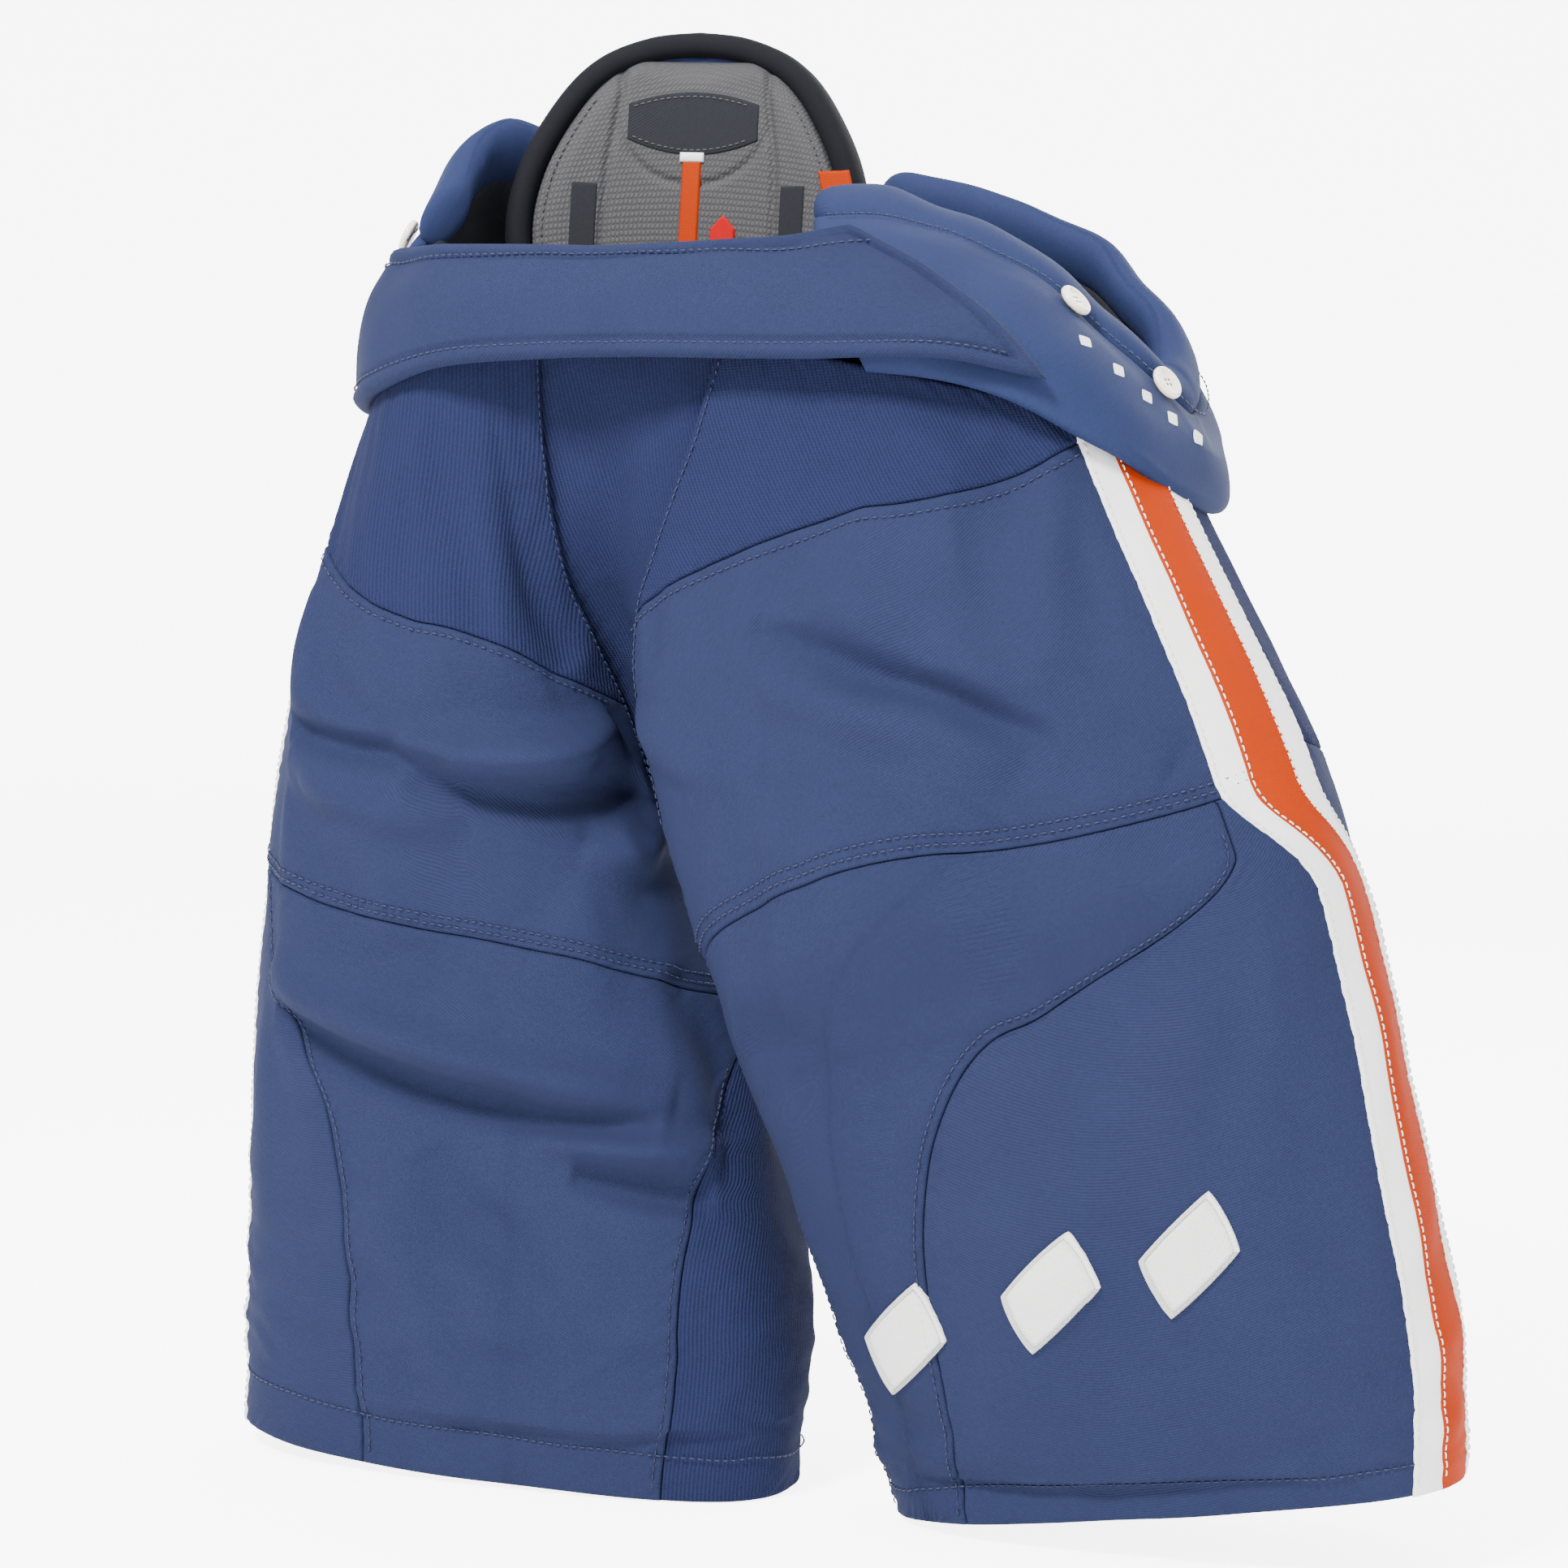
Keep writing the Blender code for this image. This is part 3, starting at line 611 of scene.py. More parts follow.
class Stitching:
    """Short thread bars gathered into one mesh."""

    def __init__(self):
        self.verts, self.faces, self.count = [], [], 0

    def run(self, surface, a, b, out=0.0004, pitch=0.0043):
        """Stitches along a line of coordinates on a surface."""
        a, b = smooth_rows(stacked(a, b), np.linspace(0, 1, 160)).T
        way = lengths(surface.at(a, b)[None], 1)[0]
        faces = tube_faces(5, 5)
        for k in range(int(way[-1] / pitch)):
            at = (k + THREAD_LONG * np.array((0, 0.15, 0.5, 0.85, 1))) * pitch
            arch = out + THREAD_RADIUS * np.array((-0.9, 0.3, 0.7, 0.3, -0.9))
            spots = surface.at(np.interp(at, way, a), np.interp(at, way, b), arch)
            tangent = unit(np.gradient(spots, axis=0))
            side = unit(np.cross(tangent, (0.13, 0.31, 0.94)))
            radius = THREAD_RADIUS * np.array((0.5, 1, 1, 1, 0.5))[:, None]
            bar = rings(spots, side * radius, np.cross(side, tangent) * radius, 5)
            self.verts.append(bar.reshape(-1, 3))
            self.faces += [[i + self.count for i in face] for face in faces]
            self.count += 25

    def make(self, name, look):
        return new_object(name, np.concatenate(self.verts), self.faces, None, look)


# ---- materials -------------------------------------------------------------
class Look:
    """A Principled material, built up from nodes."""

    def __init__(self, name, roughness, sheen=0.0, coat=0.0, specular=0.4):
        self.made = bpy.data.materials.new(name)
        self.made.use_nodes = True
        self.nodes, self.links = self.made.node_tree.nodes, self.made.node_tree.links
        self.body = self.nodes["Principled BSDF"].inputs
        for socket, value in (("Roughness", roughness), ("Sheen Weight", sheen),
                              ("Sheen Roughness", 0.45), ("Coat Weight", coat),
                              ("Coat Roughness", 0.15), ("Specular IOR Level", specular)):
            self.body[socket].default_value = value

    def node(self, kind, *feeds, **settings):
        """A node: feeds go to its first inputs, settings to its properties or inputs."""
        made = self.nodes.new(f"ShaderNode{kind}")
        for key, value in settings.items():
            if hasattr(made, key):
                setattr(made, key, value)
            else:
                made.inputs[key.replace("_", " ")].default_value = value
        for socket, value in zip(made.inputs, feeds):
            if isinstance(value, (int, float)):
                socket.default_value = value
            else:
                self.links.new(value, socket)
        return made

    def maths(self, operation, first, second):
        return self.node("Math", first, second, operation=operation).outputs[0]

    def noise(self, scale, detail=3.0):
        space = self.node("TexCoord").outputs["Object"]
        return self.node("TexNoise", space, Scale=scale, Detail=detail).outputs["Fac"]

    def paint(self, factor, colour, low, high):
        """The colour, between low and high shares of it by a factor."""
        mix = self.node("Mix", factor, data_type="RGBA")
        for number, share in ((6, low), (7, high)):
            mix.inputs[number].default_value = (*[min(1.0, c * share) for c in colour], 1)
        self.links.new(mix.outputs[2], self.body["Base Color"])

    def relief(self, height, strength, depth, invert=False):
        bump = self.node("Bump", strength, depth, invert=invert)
        self.links.new(height, bump.inputs["Height"])
        self.links.new(bump.outputs["Normal"], self.body["Normal"])
        return self.made


def cloth_look(name, colour, weaves, roughness=0.82, sheen=0.05, contrast=0.16,
               speckle=0.1, cloud=0.07, depth=0.00022, strength=0.5, specular=0.07):
    """Woven or knitted cloth: weaves lists (pitch, angle, weight) of its threads."""
    look = Look(name, roughness, sheen, specular=specular)
    look.body["Sheen Tint"].default_value = (*[min(1.0, c * 4 + 0.02) for c in colour], 1)
    uv = look.node("UVMap", uv_map="weave").outputs["UV"]
    weave = None
    for pitch, angle, weight in weaves:
        turn = look.node("Mapping", uv, Rotation=(0, 0, angle)).outputs["Vector"]
        wave = look.node("TexWave", turn, wave_type="BANDS", bands_direction="X",
                         Scale=math.pi / (10 * pitch)).outputs["Fac"]
        band = look.maths("MULTIPLY", wave, weight)
        weave = band if weave is None else look.maths("ADD", weave, band)
    fine, large = look.noise(620.0), look.noise(34.0, 4.0)
    factor = 0.5 - (contrast + speckle + cloud) / 2
    for texture, weight in ((weave, contrast), (fine, speckle), (large, cloud)):
        factor = look.maths("ADD", look.maths("MULTIPLY", texture, weight), factor)
    look.paint(factor, colour, 0.45, 1.55)
    return look.relief(look.maths("ADD", weave, look.maths("MULTIPLY", fine, 0.6)), strength, depth)


def plain_look(name, colour, roughness, scale=220.0, spread=0.12, depth=0.0002,
               strength=0.3, coat=0.0, specular=0.3):
    """Moulded or coated stuff with a fine grain and a little colour change."""
    look = Look(name, roughness, coat=coat, specular=specular)
    grain = look.noise(scale)
    look.paint(grain, colour, 1 - spread, 1 + spread)
    return look.relief(grain, strength, depth)


def embossed_look(name, colour):
    """Grey liner cloth pressed with rows of small ovals; its colour has painted shade in the pressed
    grooves between the ovals and a painted highlight on the raised ovals.
    """
    look = Look(name, 0.6, sheen=0.03, specular=0.16)
    uv = look.node("UVMap", uv_map="weave").outputs["UV"]
    squeeze = look.node("Mapping", uv, Scale=(420.0, 300.0, 1.0)).outputs["Vector"]
    cells = look.node("TexVoronoi", squeeze, feature="F1", Scale=1.0, Randomness=0.12)
    spot = look.node("MapRange", cells.outputs["Distance"], interpolation_type="SMOOTHSTEP",
                     From_Min=0.22, From_Max=0.46).outputs["Result"]
    # painted shade and highlight: darker (0.8) where the grooves are pressed in, lighter (1.12) on
    # the raised ovals
    look.paint(spot, colour, 1.12, 0.8)
    return look.relief(spot, 0.6, 0.0005, invert=True)


QUARTER = math.pi / 4
SQUARE_WEAVE = ((0.0009, 0.0, 0.5), (0.0009, math.pi / 2, 0.5))
NYLON = cloth_look("shell_nylon", NAVY, ((0.00125, QUARTER * 1.15, 0.7), (0.0008, -QUARTER, 0.3)),
                   contrast=0.3, speckle=0.34, cloud=0.14, depth=0.0003, strength=0.7)
HIP_NYLON = cloth_look("hip_nylon", HIP, ((0.0009, QUARTER, 0.6), (0.0009, -QUARTER, 0.4)),
                       roughness=0.7, sheen=0.08, contrast=0.2, speckle=0.28, cloud=0.12)
RIB_KNIT = cloth_look("stretch_knit", KNIT, ((0.0021, 0.0, 0.75), (0.0013, math.pi / 2, 0.25)),
                      roughness=0.9, contrast=0.46, speckle=0.25, cloud=0.12, depth=0.0005,
                      strength=0.9)
TAPE_WHITE = cloth_look("stripe_white", WHITE, SQUARE_WEAVE, roughness=0.6, contrast=0.1,
                        speckle=0.05, specular=0.3)
TAPE_ORANGE = cloth_look("stripe_orange", ORANGE, SQUARE_WEAVE, roughness=0.6, contrast=0.12,
                         speckle=0.06, specular=0.04, sheen=0.0)
TAPE_RED = cloth_look("tag_red", RED, ((0.0006, 0.0, 1.0),), roughness=0.6, specular=0.04,
                      sheen=0.0)
TAPE_BLACK = cloth_look("black_trim", BLACK, ((0.0012, math.pi / 2, 0.7), (0.0008, 0.0, 0.3)),
                        roughness=0.75, contrast=0.3)
MESH = cloth_look("mesh_liner", BLACK, ((0.0024, QUARTER, 0.5), (0.0024, -QUARTER, 0.5)),
                  roughness=0.8, contrast=0.45, depth=0.0006, strength=0.9)
LINER = embossed_look("embossed_liner", GREY)
BRUSHED = cloth_look("brushed_lining", CHARCOAL, ((0.0012, QUARTER, 1.0),), roughness=0.9,
                     sheen=0.1, contrast=0.1, speckle=0.3)
SATIN = cloth_look("satin_stitch", CREAM, ((0.001, 0.0, 1.0),), roughness=0.42,
                   contrast=0.3, depth=0.0003, strength=0.9, specular=0.4)
THREAD_NAVY = plain_look("thread_navy", THREAD, 0.55, spread=0.2)
THREAD_GREY = plain_look("thread_grey", GREY, 0.5, spread=0.1)
THREAD_PALE = plain_look("thread_pale", PALE_THREAD, 0.5, spread=0.1)
BUTTON = plain_look("button_pearl", PEARL, 0.28, scale=60.0, spread=0.16, depth=0.00005,
                    coat=0.6)
# painted shade for the button holes, laid on as flat dark discs
BUTTON_HOLE_SHADE = plain_look("button_hole", HOLE_SHADE, 0.6)
FOAM_LOOK = plain_look("foam", FOAM, 0.95, scale=900.0, depth=0.0005, strength=0.6)
PLATE = plain_look("guard_plastic", PLASTIC, 0.42, scale=300.0, spread=0.06)


# ---- how pieces join the frame ---------------------------------------------
TAGS = {1: "left", -1: "right"}


def sewn(piece, side, slot, **more):
    """A leg piece, with its transform baked into its mesh."""
    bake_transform(piece)
    return declare(piece, slot, **more)


def fixed(piece, body, slot, **more):
    """A piece that rides on one body."""
    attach(piece, body)
    return declare(piece, slot, **more)


def declare(piece, slot, also=(), pad=None, rests_on=()):
    """Hides the CAD nodes that a piece stands for: those of its own name and the others it is given.
    """
    own = piece.name.removesuffix(PIECE)
    nodes = [name for name in (own, *also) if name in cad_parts]
    if nodes:
        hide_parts(*nodes)
    if pad is not None:
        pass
    elif piece.name in FLAT:
        wide, long, area = FLAT[piece.name]
        area = min(max(area, 0.31 * wide * long), wide * long)
    return piece


# ---- legs ------------------------------------------------------------------
def slacken(skin, columns=132, rows=100, frames=24):
    """Lets the outer cloth grow a little and settle over the padding under it."""
    a, b = np.meshgrid(np.linspace(0, 1, columns, endpoint=False), np.linspace(0, 1, rows))
    start = skin.at(a, b)
    faces = grid_faces(rows, columns, flip=skin.facing > 0, wrap=True)
    cloth = new_object("slack_cloth", start, faces)
    core = new_object("slack_core", skin.at(a, b, -0.003), faces)
    held = [j * columns + i for j in (0, 1, 2, rows - 3, rows - 2, rows - 1)
            for i in range(columns)]
    cloth.vertex_groups.new(name="hold").add(held, 1.0, "REPLACE")
    core.modifiers.new("collision", "COLLISION")
    core.collision.thickness_outer = 0.0008
    core.collision.cloth_friction = 8.0
    wear = cloth.modifiers.new("cloth", "CLOTH")
    for setting, value in CLOTH_SETTINGS.items():
        setattr(wear.settings, setting, value)
    wear.collision_settings.distance_min = 0.0008
    wear.collision_settings.use_self_collision = False
    wear.point_cache.frame_start, wear.point_cache.frame_end = 1, frames
    scene = bpy.context.scene
    for frame_number in range(1, frames + 1):
        scene.frame_set(frame_number)
    graph = bpy.context.evaluated_depsgraph_get()
    end = np.empty(start.size, np.float32)
    cloth.evaluated_get(graph).data.vertices.foreach_get("co", end)
    moved = end.reshape(start.shape).astype(float) - start
    for piece in (cloth, core):
        mesh = piece.data
        bpy.data.objects.remove(piece)
        bpy.data.meshes.remove(mesh)
    scene.frame_set(1)
    field = Surface(lambda u, v: stacked(u, v, 0), (columns, rows), wrap=True)
    extra = field.mix((moved,), skin.a, skin.b)[0]
    for _ in range(3):
        extra = (np.roll(extra, 2, 1) + np.roll(extra, -2, 1) + 2 * extra) / 4
        extra[2:-2] = (extra[:-4] + extra[4:] + 2 * extra[2:-2]) / 4
    extra *= (ease(0.0, 0.06, skin.b) * ease(0.995, 0.85, skin.b))[..., None]
    extra *= SLACK_LIMIT / np.maximum(np.linalg.norm(extra, axis=-1, keepdims=True), SLACK_LIMIT)
    skin.points = skin.points + extra
    skin.find_normals()


def leg_skin(side):
    skin = Surface(leg_place(side), (480, 520), wrap=True, facing=-side)
    skin.push(ripple(skin, 7 + side, 0.06, 0.0009))
    folds = fold_heights(skin, LEG_FOLDS[side]) * FOLD_DEPTH[side]
    skin.push(np.where(folds < 0, VALLEY * np.tanh(folds / VALLEY), folds))
    slacken(skin)
    return skin


def sleeve(name, points, look, facing):
    """A piece that goes all round a leg."""
    faces = grid_faces(*points.shape[:2], flip=facing < 0, wrap=True)
    return new_object(name, points, faces, grid_uvs(points), look)


def build_leg(side):
    skin, tag = leg_skin(side), TAGS[side]
    threads, pale_threads = Stitching(), Stitching()
    pads = [f"thigh_guard_foam_{tag}"]
    yoke, thigh = partial(yoke_seam, side), partial(thigh_seam, side)

    def stripe(offset):
        return partial(stripe_turn, side, offset=offset)

    front_of_stripe = stripe(STRIPE_HALF - TUCK)

    def behind_stripe(v):
        return stripe_turn(side, v, TUCK - STRIPE_HALF) + 1.0

    def side_edge(v):
        return np.maximum(side_seam(side, v), front_of_stripe(v) + 0.012)

    def inner_edge(v):
        return np.minimum(front_inner_edge(v), INNER_TURN)

    def gusset(v):
        return gusset_edge(side, v) - 0.004

    def add(name, turns, heights, look, slot, **more):
        made = panel(f"{name}_{tag}", skin, turns, heights, look, **more)
        sewn(made, side, slot, rests_on=pads)

    add("yoke_panel", (front_of_stripe, front_inner_edge), (0.0, yoke), RIB_KNIT, "stretch_knit",
        grain=-0.25 * side)
    add("thigh_panel", (front_of_stripe, inner_edge), (yoke, thigh), NYLON, "shell_nylon",
        grain=0.1)
    add("lower_front_panel", (side_edge, gusset), (thigh, 1.0), NYLON, "shell_nylon")
    add("lower_side_panel", (front_of_stripe, side_edge), (thigh, 1.0), NYLON, "shell_nylon",
        grain=0.3)
    add("inner_gusset", (gusset, 0.6), (0.405, 1.0), RIB_KNIT, "stretch_knit", out=-0.0012)
    add("seat_panel", (0.64, behind_stripe), (lambda u: 0.065 * ease(0.8, 0.65, u), seat_seam),
        RIB_KNIT, "stretch_knit")
    add("rear_thigh_panel", (0.6, behind_stripe), (seat_seam, 1.0), NYLON, "shell_nylon")
    add("side_stripe", (stripe(-STRIPE_HALF), stripe(STRIPE_HALF)), (STRIPE_TOP, 1.0), TAPE_WHITE,
        "stripe_white", out=0.001, roll=0.0009, drop=0.0007, gathers=0.00025)
    add("stripe_center", (stripe(-CENTRE_HALF), stripe(CENTRE_HALF)), (STRIPE_TOP, 0.9995),
        TAPE_ORANGE, "stripe_orange", out=0.0017, roll=0.0008, drop=0.0008, gathers=0.0002,
        skirt=0.002)

    # the hem's turned-up allowance and the sock-like liner inside
    heights, depths = np.array(HEM_ROWS).T
    turns, down = np.meshgrid(np.linspace(0, 1, 320, endpoint=False), heights)
    points = skin.at(turns, down, depths[:, None] + 0 * turns)
    sewn(sleeve(f"hem_band_{tag}", points, NYLON, skin.facing), side, "shell_nylon")
    turns, down = np.meshgrid(np.linspace(0, 1, 200, endpoint=False), np.linspace(0.16, 0.985, 90))
    points = leg_place(side, LINER_INSET)(turns, down)
    liner = sleeve(f"leg_liner_{tag}", points, MESH, skin.facing)
    FLAT[liner.name] = *map(float, grid_uvs(points).max((0, 1))), surface_area(points)
    sewn(liner, side, "mesh_liner", rests_on=pads)

    base = Surface(leg_place(side), (240, 200), wrap=True, facing=-side)
    for name, turns, heights in GUARD_FOAMS:
        foam = slab(f"{name}_{tag}", base, turns, heights, FOAM_LOOK, FOAM_DEPTH, 0.008,
                    cell=0.008)
        sewn(foam, side, "foam", pad=1.0)
    plate = slab(f"thigh_guard_plate_{tag}", base, (0.17, 0.335), (0.26, 0.9), PLATE,
                 PLATE_DEPTH, 0.0014, cell=0.008)
    sewn(plate, side, "guard_plastic")

    # topstitching beside the seams
    def between(low, high, across=0.012):
        return np.linspace(low + across, high - across, 48)

    u = between(front_of_stripe(0.1), 0.44)
    threads.run(skin, u, yoke(u) + 0.0085)
    v = between(0.02, 0.4, 0)
    threads.run(skin, inner_edge(v) - 0.0065, v)
    u = between(front_of_stripe(0.42), 0.474)
    for gap in (0.0075, 0.015):
        threads.run(skin, u, thigh(u) - gap)
    v = between(float(thigh(side_seam(side, 0.45))) + 0.012, 0.992, 0)
    threads.run(skin, side_edge(v) + 0.005, v)
    v = between(0.56 if side > 0 else 0.6, 0.99, 0)
    threads.run(skin, gusset(v) - 0.006, v)
    v = between(0.035, 0.99, 0)
    for half, margin, out in ((STRIPE_HALF, 0.0022, 0.0012), (CENTRE_HALF, 0.0016, 0.0019)):
        for sign in (1, -1):
            pale_threads.run(skin, stripe_turn(side, v, sign * (half - margin)), v, out=out)
    threads.run(skin, np.linspace(front_of_stripe(0.95) + 0.006, behind_stripe(0.95) - 0.006, 90),
                0.945)
    u = np.linspace(0.65, 0.93, 48)
    threads.run(skin, u, seat_seam(u) + 0.008)
    sewn(threads.make(f"stitches_leg_{tag}", THREAD_NAVY), side, "shell_nylon")
    sewn(pale_threads.make(f"stitches_stripe_{tag}", THREAD_PALE), side, "stripe_white")
    return skin


def diamond(name, surface, centre, wide, tall, slant, thick, border=0.003):
    """A satin-stitched diamond laid on a surface, with a raised edge if it has a border."""
    turn = np.linspace(0, math.tau, 96, endpoint=False)
    right = rounded(np.cos(turn), 2 / DIAMOND_POWER) * wide / 2
    up = rounded(np.sin(turn), 2 / DIAMOND_POWER) * tall / 2
    size = min(wide, tall) / 2
    inner = 1 - border / size
    profile = [(k / 7, 1.0) for k in range(1, 7)] + [(0.985, 0.9), (1.0, 0.2), (1.0, -0.9)]
    if border:
        profile = [(k * inner / 7, 0.55) for k in range(1, 8)] + [
            (inner + 0.004, 0.3), (inner + 0.02, 0.72), (1 - border / size / 2, 1.0),
            (0.985, 0.8), (1.0, 0.25), (1.0, -0.9)]
    verts, uvs = [], []
    for share, high in profile:
        x, y = right * share + up * share * slant, up * share + right * share * slant * 0.55
        verts.append(surface.at(*surface.walk(*centre, x, y), thick * high))
        if share > inner and border:
            uvs.append(stacked(lengths(verts[-1][None], 1)[0], share * size))
        else:
            uvs.append(stacked(y + 0.5 * x, x))
    faces = grid_faces(len(profile), 96, flip=surface.facing < 0, wrap=True)
    faces.append(list(range(96))[::1 if surface.facing < 0 else -1])
    return new_object(name, verts, faces, np.concatenate(uvs), SATIN)


SKINS = {side: build_leg(side) for side in (1, -1)}

for number, centre in enumerate(((0.355, 0.79), (0.262, 0.751), (0.217, 0.73))):
    mark = diamond(f"embroidered_diamond_{number + 1}", SKINS[1], centre, 0.048, 0.064, 0.28,
                   0.0018)
    sewn(mark, 1, None)


# ---- fly, seat and tailbone ------------------------------------------------
def fly_place(s, t):
    v = 0.43 * t
    turn = front_inner_edge(v) - 0.006
    right, left = (leg_place(side, 0.0045)(turn, v) for side in (-1, 1))
    place = right * (1 - s[..., None]) + left * s[..., None]
    sag = 0.02 * np.sin(math.pi * s) ** 0.8 * (0.1 + 0.9 * ease(0.05, 0.55, t)) * (1 - 0.3 * t)
    return place + stacked(0, sag, 0)


def seat_place(depth, low, high, half):
    def place(s, t):
        across = half * (1 - 0.35 * t * t) * (2 * s - 1)
        return stacked(TAIL_X + across, depth - 3.4 * across ** 2, high + (low - high) * t) + ORIGIN
    return place


fly_skin = Surface(fly_place, (120, 150), facing=1)
fly_skin.push(ripple(fly_skin, 31, 0.04, 0.0008))
fly_skin.push(fold_heights(fly_skin, FLY_FOLDS))
fixed(panel("fly_panel", fly_skin, ALL, ALL, RIB_KNIT, grain=0.2), "waist", "stretch_knit")
tail_skin = Surface(seat_place(0.1115, 0.37, 0.58, 0.088), (90, 90))
tail_skin.push(ripple(tail_skin, 41, 0.05, 0.001))
fixed(panel("seat_gusset", tail_skin, ALL, ALL, NYLON), "waist", "shell_nylon")
tail_core = Surface(seat_place(0.106, 0.4, 0.545, 0.055), (60, 60))
fixed(slab("tailbone_pad", tail_core, ALL, ALL, FOAM_LOOK, -0.0055, 0.0095), "waist", "foam",
      pad=1.0)


# ---- waist: front wrap, belt and hip pads ----------------------------------
def wall_place(low, middle, top):
    def place(s, t):
        a, b, c = (smooth_rows(line, s) * MM for line in (low, middle, top))
        t = t[..., None]
        return (a * (1 - t) * (1 - 2 * t) + b * 4 * t * (1 - t) + c * t * (2 * t - 1)) + ORIGIN
    return place


def wall(lines, folds, seed, counts=(300, 150)):
    made = Surface(wall_place(*lines), counts, b_span=(-0.1, 1.2))
    made.push(ripple(made, seed, 0.055, 0.001))
    made.push(fold_heights(made, folds))
    return made


def wrap_height(a, b, gap):
    """Bound edges with a shallow quilted field between them."""
    binding = 0.0012 * np.exp(-((gap - 0.005) / 0.003) ** 2)
    groove = -0.0016 * np.exp(-((gap - 0.0098) / 0.0011) ** 2)
    return binding + groove + 0.0008 * ease(0.011, 0.03, gap)


waist_threads = Stitching()
wrap_wall = wall(WRAP_LINES, WRAP_FOLDS, 51)
wrap = slab("waist_wrap", wrap_wall, ALL, ALL, NYLON, -0.0042, 0.0095, cell=0.003,
            height=wrap_height, roll=0.004)
fixed(wrap, "waist", "shell_nylon", also=("wrap_foam",), pad=0.7)
for height in (0.125, 0.875):
    waist_threads.run(wrap_wall, np.linspace(0.03, 0.97, 60), height, out=0.001)
webbing = slab("belt_webbing", wrap_wall, (0.18, 0.72), (0.4, 0.72), TAPE_BLACK, -0.012, 0.0018,
               cell=0.004)
fixed(webbing, "waist", "black_trim")


def rim_roll(name, surface):
    """A padded roll along the top of a hip pad."""
    s = np.linspace(0, 1, 170)
    low = surface.at(s, RIM_FOOT + 0 * s, -0.0042)
    edge = surface.at(s, 1 + 0 * s, -0.0042)
    rise = unit(edge - low)
    top = edge + rise * 0.0222
    normal = surface.sample(s, 1 + 0 * s)[1]
    normal = unit(normal - rise * (normal * rise).sum(-1, keepdims=True))
    half = np.linalg.norm(top - low, axis=-1) / 2
    close = np.clip(np.minimum(s, 1 - s) / 0.05, 0, 1)
    shrink = np.sqrt(np.clip(1 - (1 - close) ** 2, 0.0004, 1))
    swell = 1 + 0.035 * np.sin(np.linspace(0, 34, 170)) + 0.03 * np.sin(np.linspace(1, 15, 170))
    grid = rings((low + top) / 2, rise * (half * shrink)[:, None],
                 normal * (0.0102 * shrink * swell)[:, None], 28, power=(0.9, 1))
    return new_object(name, grid, tube_faces(170, 28), grid_uvs(grid), HIP_NYLON)


def crown(a, b, gap):
    return 0.0035 * ease(0.0, 0.035, gap)


HIPS = {side: wall(HIP_LINES[side], HIP_FOLDS[side], 60 + side, (320, 170)) for side in (1, -1)}
for side, hip in HIPS.items():
    tag = TAGS[side]
    cover = slab(f"hip_cover_{tag}", hip, ALL, (0.0, 0.885), HIP_NYLON, -0.003, 0.0085,
                 cell=0.003, height=crown, roll=0.006)
    fixed(cover, "waist", "shell_nylon", pad=0.9)
    pad = slab(f"hip_pad_{tag}", hip, (0.02, 0.98), (0.1, 0.95), BRUSHED, -0.0105, 0.0075,
               cell=0.004, roll=0.004)
    fixed(pad, "waist", "foam", pad=1.0)
    fixed(rim_roll(f"hip_rim_{tag}", hip), "waist", "shell_nylon", pad=0.9)
    waist_threads.run(hip, np.linspace(0.03, 0.97, 60), 0.825, out=0.0042)

for number in range(5):
    place = (0.29 + 0.04 * number, 0.5)
    mark = diamond(f"hip_mark_{number + 1}", HIPS[1], place, 0.0085, 0.011, 0.0, 0.0003, border=0)
    lift = Vector(HIPS[1].sample(*place)[1]) * 0.0046
    for vert in mark.data.vertices:
        vert.co += lift
    fixed(mark, "waist", None)

fixed(waist_threads.make("stitches_waist", THREAD_NAVY), "waist", "shell_nylon")


def skirt_place(s, t):
    """Open mesh that hangs inside the front wrap, behind the tops of the legs."""
    low = wall_place(*WRAP_LINES)(s, 0 * t)
    x, y, _ = np.moveaxis(np.array((-0.09, 0.0, 0.0)) + ORIGIN - low, -1, 0)
    return low + unit(stacked(x, y, 0)) * (0.046 + 0.012 * t)[..., None] + stacked(
        0, 0, 0.02 - 0.05 * t)


skirt_skin = Surface(skirt_place, (160, 40), facing=1)
skirt_skin.push(ripple(skirt_skin, 77, 0.03, 0.0012))
fixed(panel("waist_mesh", skirt_skin, ALL, ALL, MESH, drop=0.0), "waist", "mesh_liner",
      rests_on=["leg_liner_left", "leg_liner_right"])


# ---- suspender buttons -----------------------------------------------------
def disc(radius, high, sides, stretch=1.0, start=0.0):
    """Points round a level circle."""
    turn = start + np.arange(sides) / sides * math.tau
    return stacked(radius * np.cos(turn), radius * np.sin(turn) * stretch, high)


def button(name, base, out):
    """A four-hole button with a raised rim, and four flat dark discs in its dish that stand for the
    holes: painted shade in place of real holes.
    """
    turn = np.array(Vector(out).to_track_quat("Z", "Y").to_matrix()).T
    verts = np.stack([disc(radius, high, 40, 1.06) for radius, high in BUTTON_PROFILE])
    holes = np.stack([disc(0.0008, 0.00262, 14) + spot
                      for spot in disc(0.0019, 0.0, 4, start=QUARTER)])
    faces = [list(range(14 * k, 14 * k + 14)) for k in range(4)]
    return (new_object(name, base + verts @ turn, tube_faces(len(verts), 40, flip=True), None,
                       BUTTON),
            new_object(f"{name}_holes", base + holes @ turn, faces, None, BUTTON_HOLE_SHADE,
                       smooth=False))


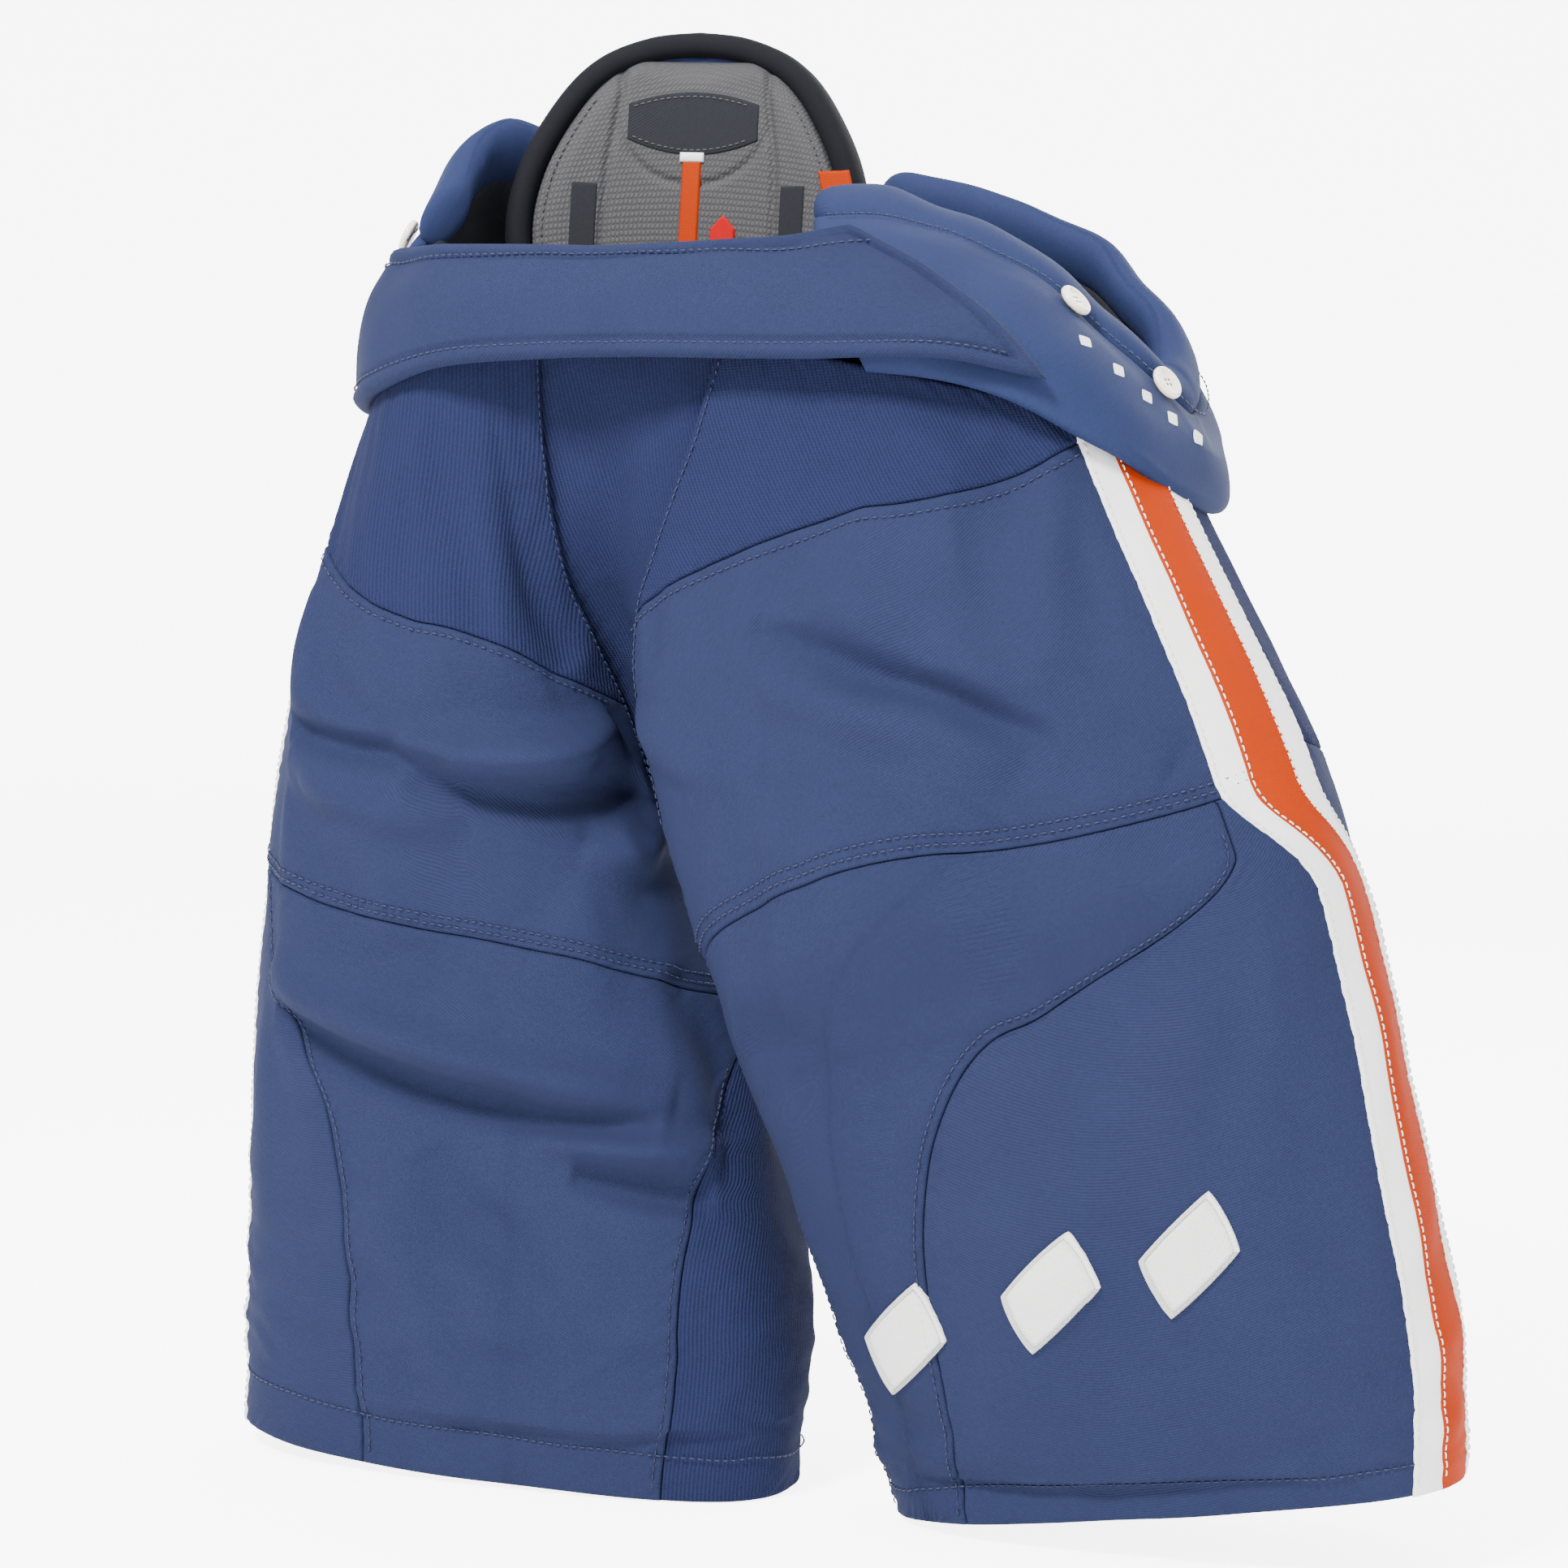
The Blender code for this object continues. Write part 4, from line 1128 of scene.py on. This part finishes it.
for name, side, s in (("front", 1, 0.3), ("side", 1, 0.425), ("back", 1, 0.8),
                      ("front", -1, 0.9), ("side", -1, 0.67), ("back", -1, 0.25)):
    place, normal = HIPS[side].sample(s, BUTTON_HEIGHT)
    disk, holes = button(f"suspender_button_{name}_{TAGS[side]}", place + normal * 0.0042, normal)
    fixed(disk, "waist", "button_pearl")
    fixed(holes, "waist", None)


# ---- spine pad -------------------------------------------------------------
def spine_half(up):
    """Half the pad's width at a height above its foot."""
    outline = smooth_rows(SPINE_HALF, np.linspace(0, 1, 200))
    return np.interp(up, outline[:, 1], outline[:, 0])


def spine_place(across, up):
    lean, yaw = SPINE_LEAN, SPINE_YAW
    depth = -SPINE_CURL * across * across
    high = up * math.cos(lean) + depth * math.sin(lean)
    deep = depth * math.cos(lean) - up * math.sin(lean)
    return SPINE_FOOT + ORIGIN + stacked(across * math.cos(yaw) - deep * math.sin(yaw),
                                         across * math.sin(yaw) + deep * math.cos(yaw), high)


def half_wide(inset, sign):
    return lambda up: sign * np.maximum(spine_half(up) - inset, 0.0006)


def spine_relief(a, b, gap):
    """Two long pressed grooves and a soft swell between them."""
    height = 0.0016 * ease(0.002, 0.014, gap)
    for sign in (-1, 1):
        here = np.interp(b, (0.01, 0.07, 0.12, 0.155), (0.044, 0.047, 0.0455, 0.04)) * sign
        height = height - 0.0022 * np.exp(-((a - here) / 0.0019) ** 2)
    arch = np.hypot(a / 1.15, b - 0.145)
    return height - 0.0016 * np.exp(-((arch - 0.036) / 0.0017) ** 2) * ease(0.15, 0.12, b)


def applied(name, turns, heights, look, slot, lift=0.0):
    """A small flat piece sewn on the spine pad's face."""
    made = panel(name, spine, turns, heights, look, out=SPINE_FACE + lift, cell=0.002,
                 roll=0.0012, drop=0.0012, gathers=0.0, skirt=0.0034)
    fixed(made, "spine_pad", slot, rests_on=["spine_pad_liner"])


def patch_top(a):
    return 0.158 - 5.5 * a * a


def patch_foot(a):
    return 0.124 + 6.0 * a * a


spine = Surface(spine_place, (200, 200), (-0.1, 0.1), (-0.012, 0.19))
core = slab("spine_pad_core", spine, (half_wide(0.001, -1), half_wide(0.001, 1)),
            (0.0, SPINE_HALF[-1][1] - 0.0006), HIP_NYLON, -0.0075, 0.014, cell=0.004)
fixed(core, "spine_pad", "pad_shell", pad=1.0)
liner = panel("spine_pad_liner", spine, (half_wide(0.004, -1), half_wide(0.004, 1)),
              (0.003, 0.1745), LINER, out=0.0034, cell=0.0016, roll=0.005, drop=0.003,
              height=spine_relief, gathers=0.0)
fixed(liner, "spine_pad", "embossed_liner", rests_on=["spine_pad_core"])

outline = smooth_rows(SPINE_HALF, np.linspace(0, 1, 90))
path = np.concatenate((outline * (-1, 1), outline[:-1][::-1]))
run = unit(np.gradient(path, axis=0))
path = path + stacked(-run[:, 1], run[:, 0]) * 0.003
track, normal = spine.at(*path.T, -0.0035), spine.sample(*path.T)[1]
away = unit(np.cross(np.gradient(track, axis=0), normal))
grid = rings(track, away * 0.0068, normal * 0.0098, 20, power=(0.8, 0.8))
binding = new_object("spine_pad_binding", grid, tube_faces(len(grid), 20, flip=True),
                     grid_uvs(grid), TAPE_BLACK)
fixed(binding, "spine_pad", "black_trim")

applied("spine_top_patch", (-0.036, 0.036), (patch_foot, patch_top), BRUSHED, "black_trim")
applied("spine_inset_left", (0.05, 0.064), (0.05, 0.108), BRUSHED, "black_trim")
applied("spine_inset_right", (-0.064, -0.05), (0.05, 0.108), BRUSHED, "black_trim")
applied("spine_strip", (-0.0052, 0.0052), (0.04, 0.121), TAPE_ORANGE, "stripe_orange", 0.0004)
bar = panel("spine_strip_bar", spine, (-0.0065, 0.0065), (0.1205, 0.1255), TAPE_WHITE,
            out=SPINE_FACE + 0.0012, cell=0.0016, roll=0.0008, drop=0.0008, gathers=0.0,
            skirt=0.003)
fixed(bar, "spine_pad", "stripe_white")
applied("spine_red_tag", (0.012, 0.026), (0.06, lambda a: 0.093 - np.abs(a - 0.019) * 1.1),
        TAPE_RED, "tag_red", 0.0006)
applied("spine_pull_tab", (half_wide(0.01, 1), lambda b: spine_half(b) + 0.0075), (0.085, 0.115),
        TAPE_ORANGE, "stripe_orange", 0.0012)

spine_threads = Stitching()
across = np.linspace(-0.033, 0.033, 60)
for edge in (patch_top(across) - 0.0028, patch_foot(across) + 0.0028):
    spine_threads.run(spine, across, edge, out=SPINE_FACE, pitch=0.0036)
up = np.linspace(0.004, 0.154, 60)
for sign in (-1, 1):
    spine_threads.run(spine, sign * (spine_half(up) - 0.0085), up, out=0.0038)
fixed(spine_threads.make("stitches_spine", THREAD_GREY), "spine_pad", "black_trim")

# the buckle stays the CAD part
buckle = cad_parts["belt_buckle"]
buckle.data.materials.clear()
buckle.data.materials.append(PLATE)


# ---- stage, light and camera -----------------------------------------------
def stage_sheet(name, corners, seen, cast):
    """A white sheet that looks strong to the camera and lights the object weakly."""
    look = Look(name, 0.95, specular=0.1)
    look.body["Base Color"].default_value = (0.93, 0.93, 0.94, 1)
    look.body["Emission Color"].default_value = (1, 1, 1, 1)
    from_camera = look.node("LightPath").outputs["Is Camera Ray"]
    glow = look.maths("ADD", look.maths("MULTIPLY", from_camera, seen - cast), cast)
    look.links.new(glow, look.body["Emission Strength"])
    new_object(name, corners, [[0, 1, 2, 3]], None, look.made, smooth=False)


along = Vector((math.cos(VIEW_AZIMUTH), math.sin(VIEW_AZIMUTH), 0))
away = Vector((-along.y, along.x, 0))
rise = Vector((0, 0, 5.0))
stage_sheet("studio_floor", [(x, y, -0.0005) for x, y in
                             ((-20, -20), (20, -20), (20, 20), (-20, 20))], 5.5, 1.3)
stage_sheet("studio_backdrop", [away * 6 - along * 8, away * 6 + along * 8,
                                away * 6 + along * 8 + rise, away * 6 - along * 8 + rise],
            5.5, 2.0)

world = bpy.data.worlds.new("studio")
world.use_nodes = True
world.node_tree.nodes["Background"].inputs["Color"].default_value = (1.0, 1.0, 1.0, 1)
world.node_tree.nodes["Background"].inputs["Strength"].default_value = 1.35
bpy.context.scene.world = world

for name, place, aim_height, size, power in (
        ("key", (-0.35, -2.0, 2.5), 0.35, 0.6, 222.0),
        ("fill", (2.3, -1.5, 1.1), 0.35, 1.4, 24.0),
        ("top", (0.2, 0.0, 2.6), 0.3, 1.2, 40.0),
        ("back", (0.6, 2.2, 1.6), 0.4, 1.4, 40.0)):
    light = bpy.data.lights.new(name, "AREA")
    light.shape, light.size, light.energy = "SQUARE", size, power
    lamp = bpy.data.objects.new(name, light)
    lamp.location = place
    aim = Vector((0, 0, aim_height)) - lamp.location
    lamp.rotation_euler = aim.to_track_quat("-Z", "Y").to_euler()
    bpy.context.scene.collection.objects.link(lamp)

back = (-away * math.cos(VIEW_HEIGHT)) + Vector((0, 0, math.sin(VIEW_HEIGHT)))
lens = bpy.data.cameras.new("view")
lens.lens = VIEW_LENS
lens.sensor_width = 36.0
camera = bpy.data.objects.new("view", lens)
camera.location = VIEW_TARGET + back * VIEW_DISTANCE
turn = back.to_track_quat("Z", "Y").to_matrix() @ Matrix.Rotation(VIEW_ROLL, 3, "Z")
camera.rotation_euler = turn.to_euler()
bpy.context.scene.collection.objects.link(camera)
bpy.context.scene.camera = camera
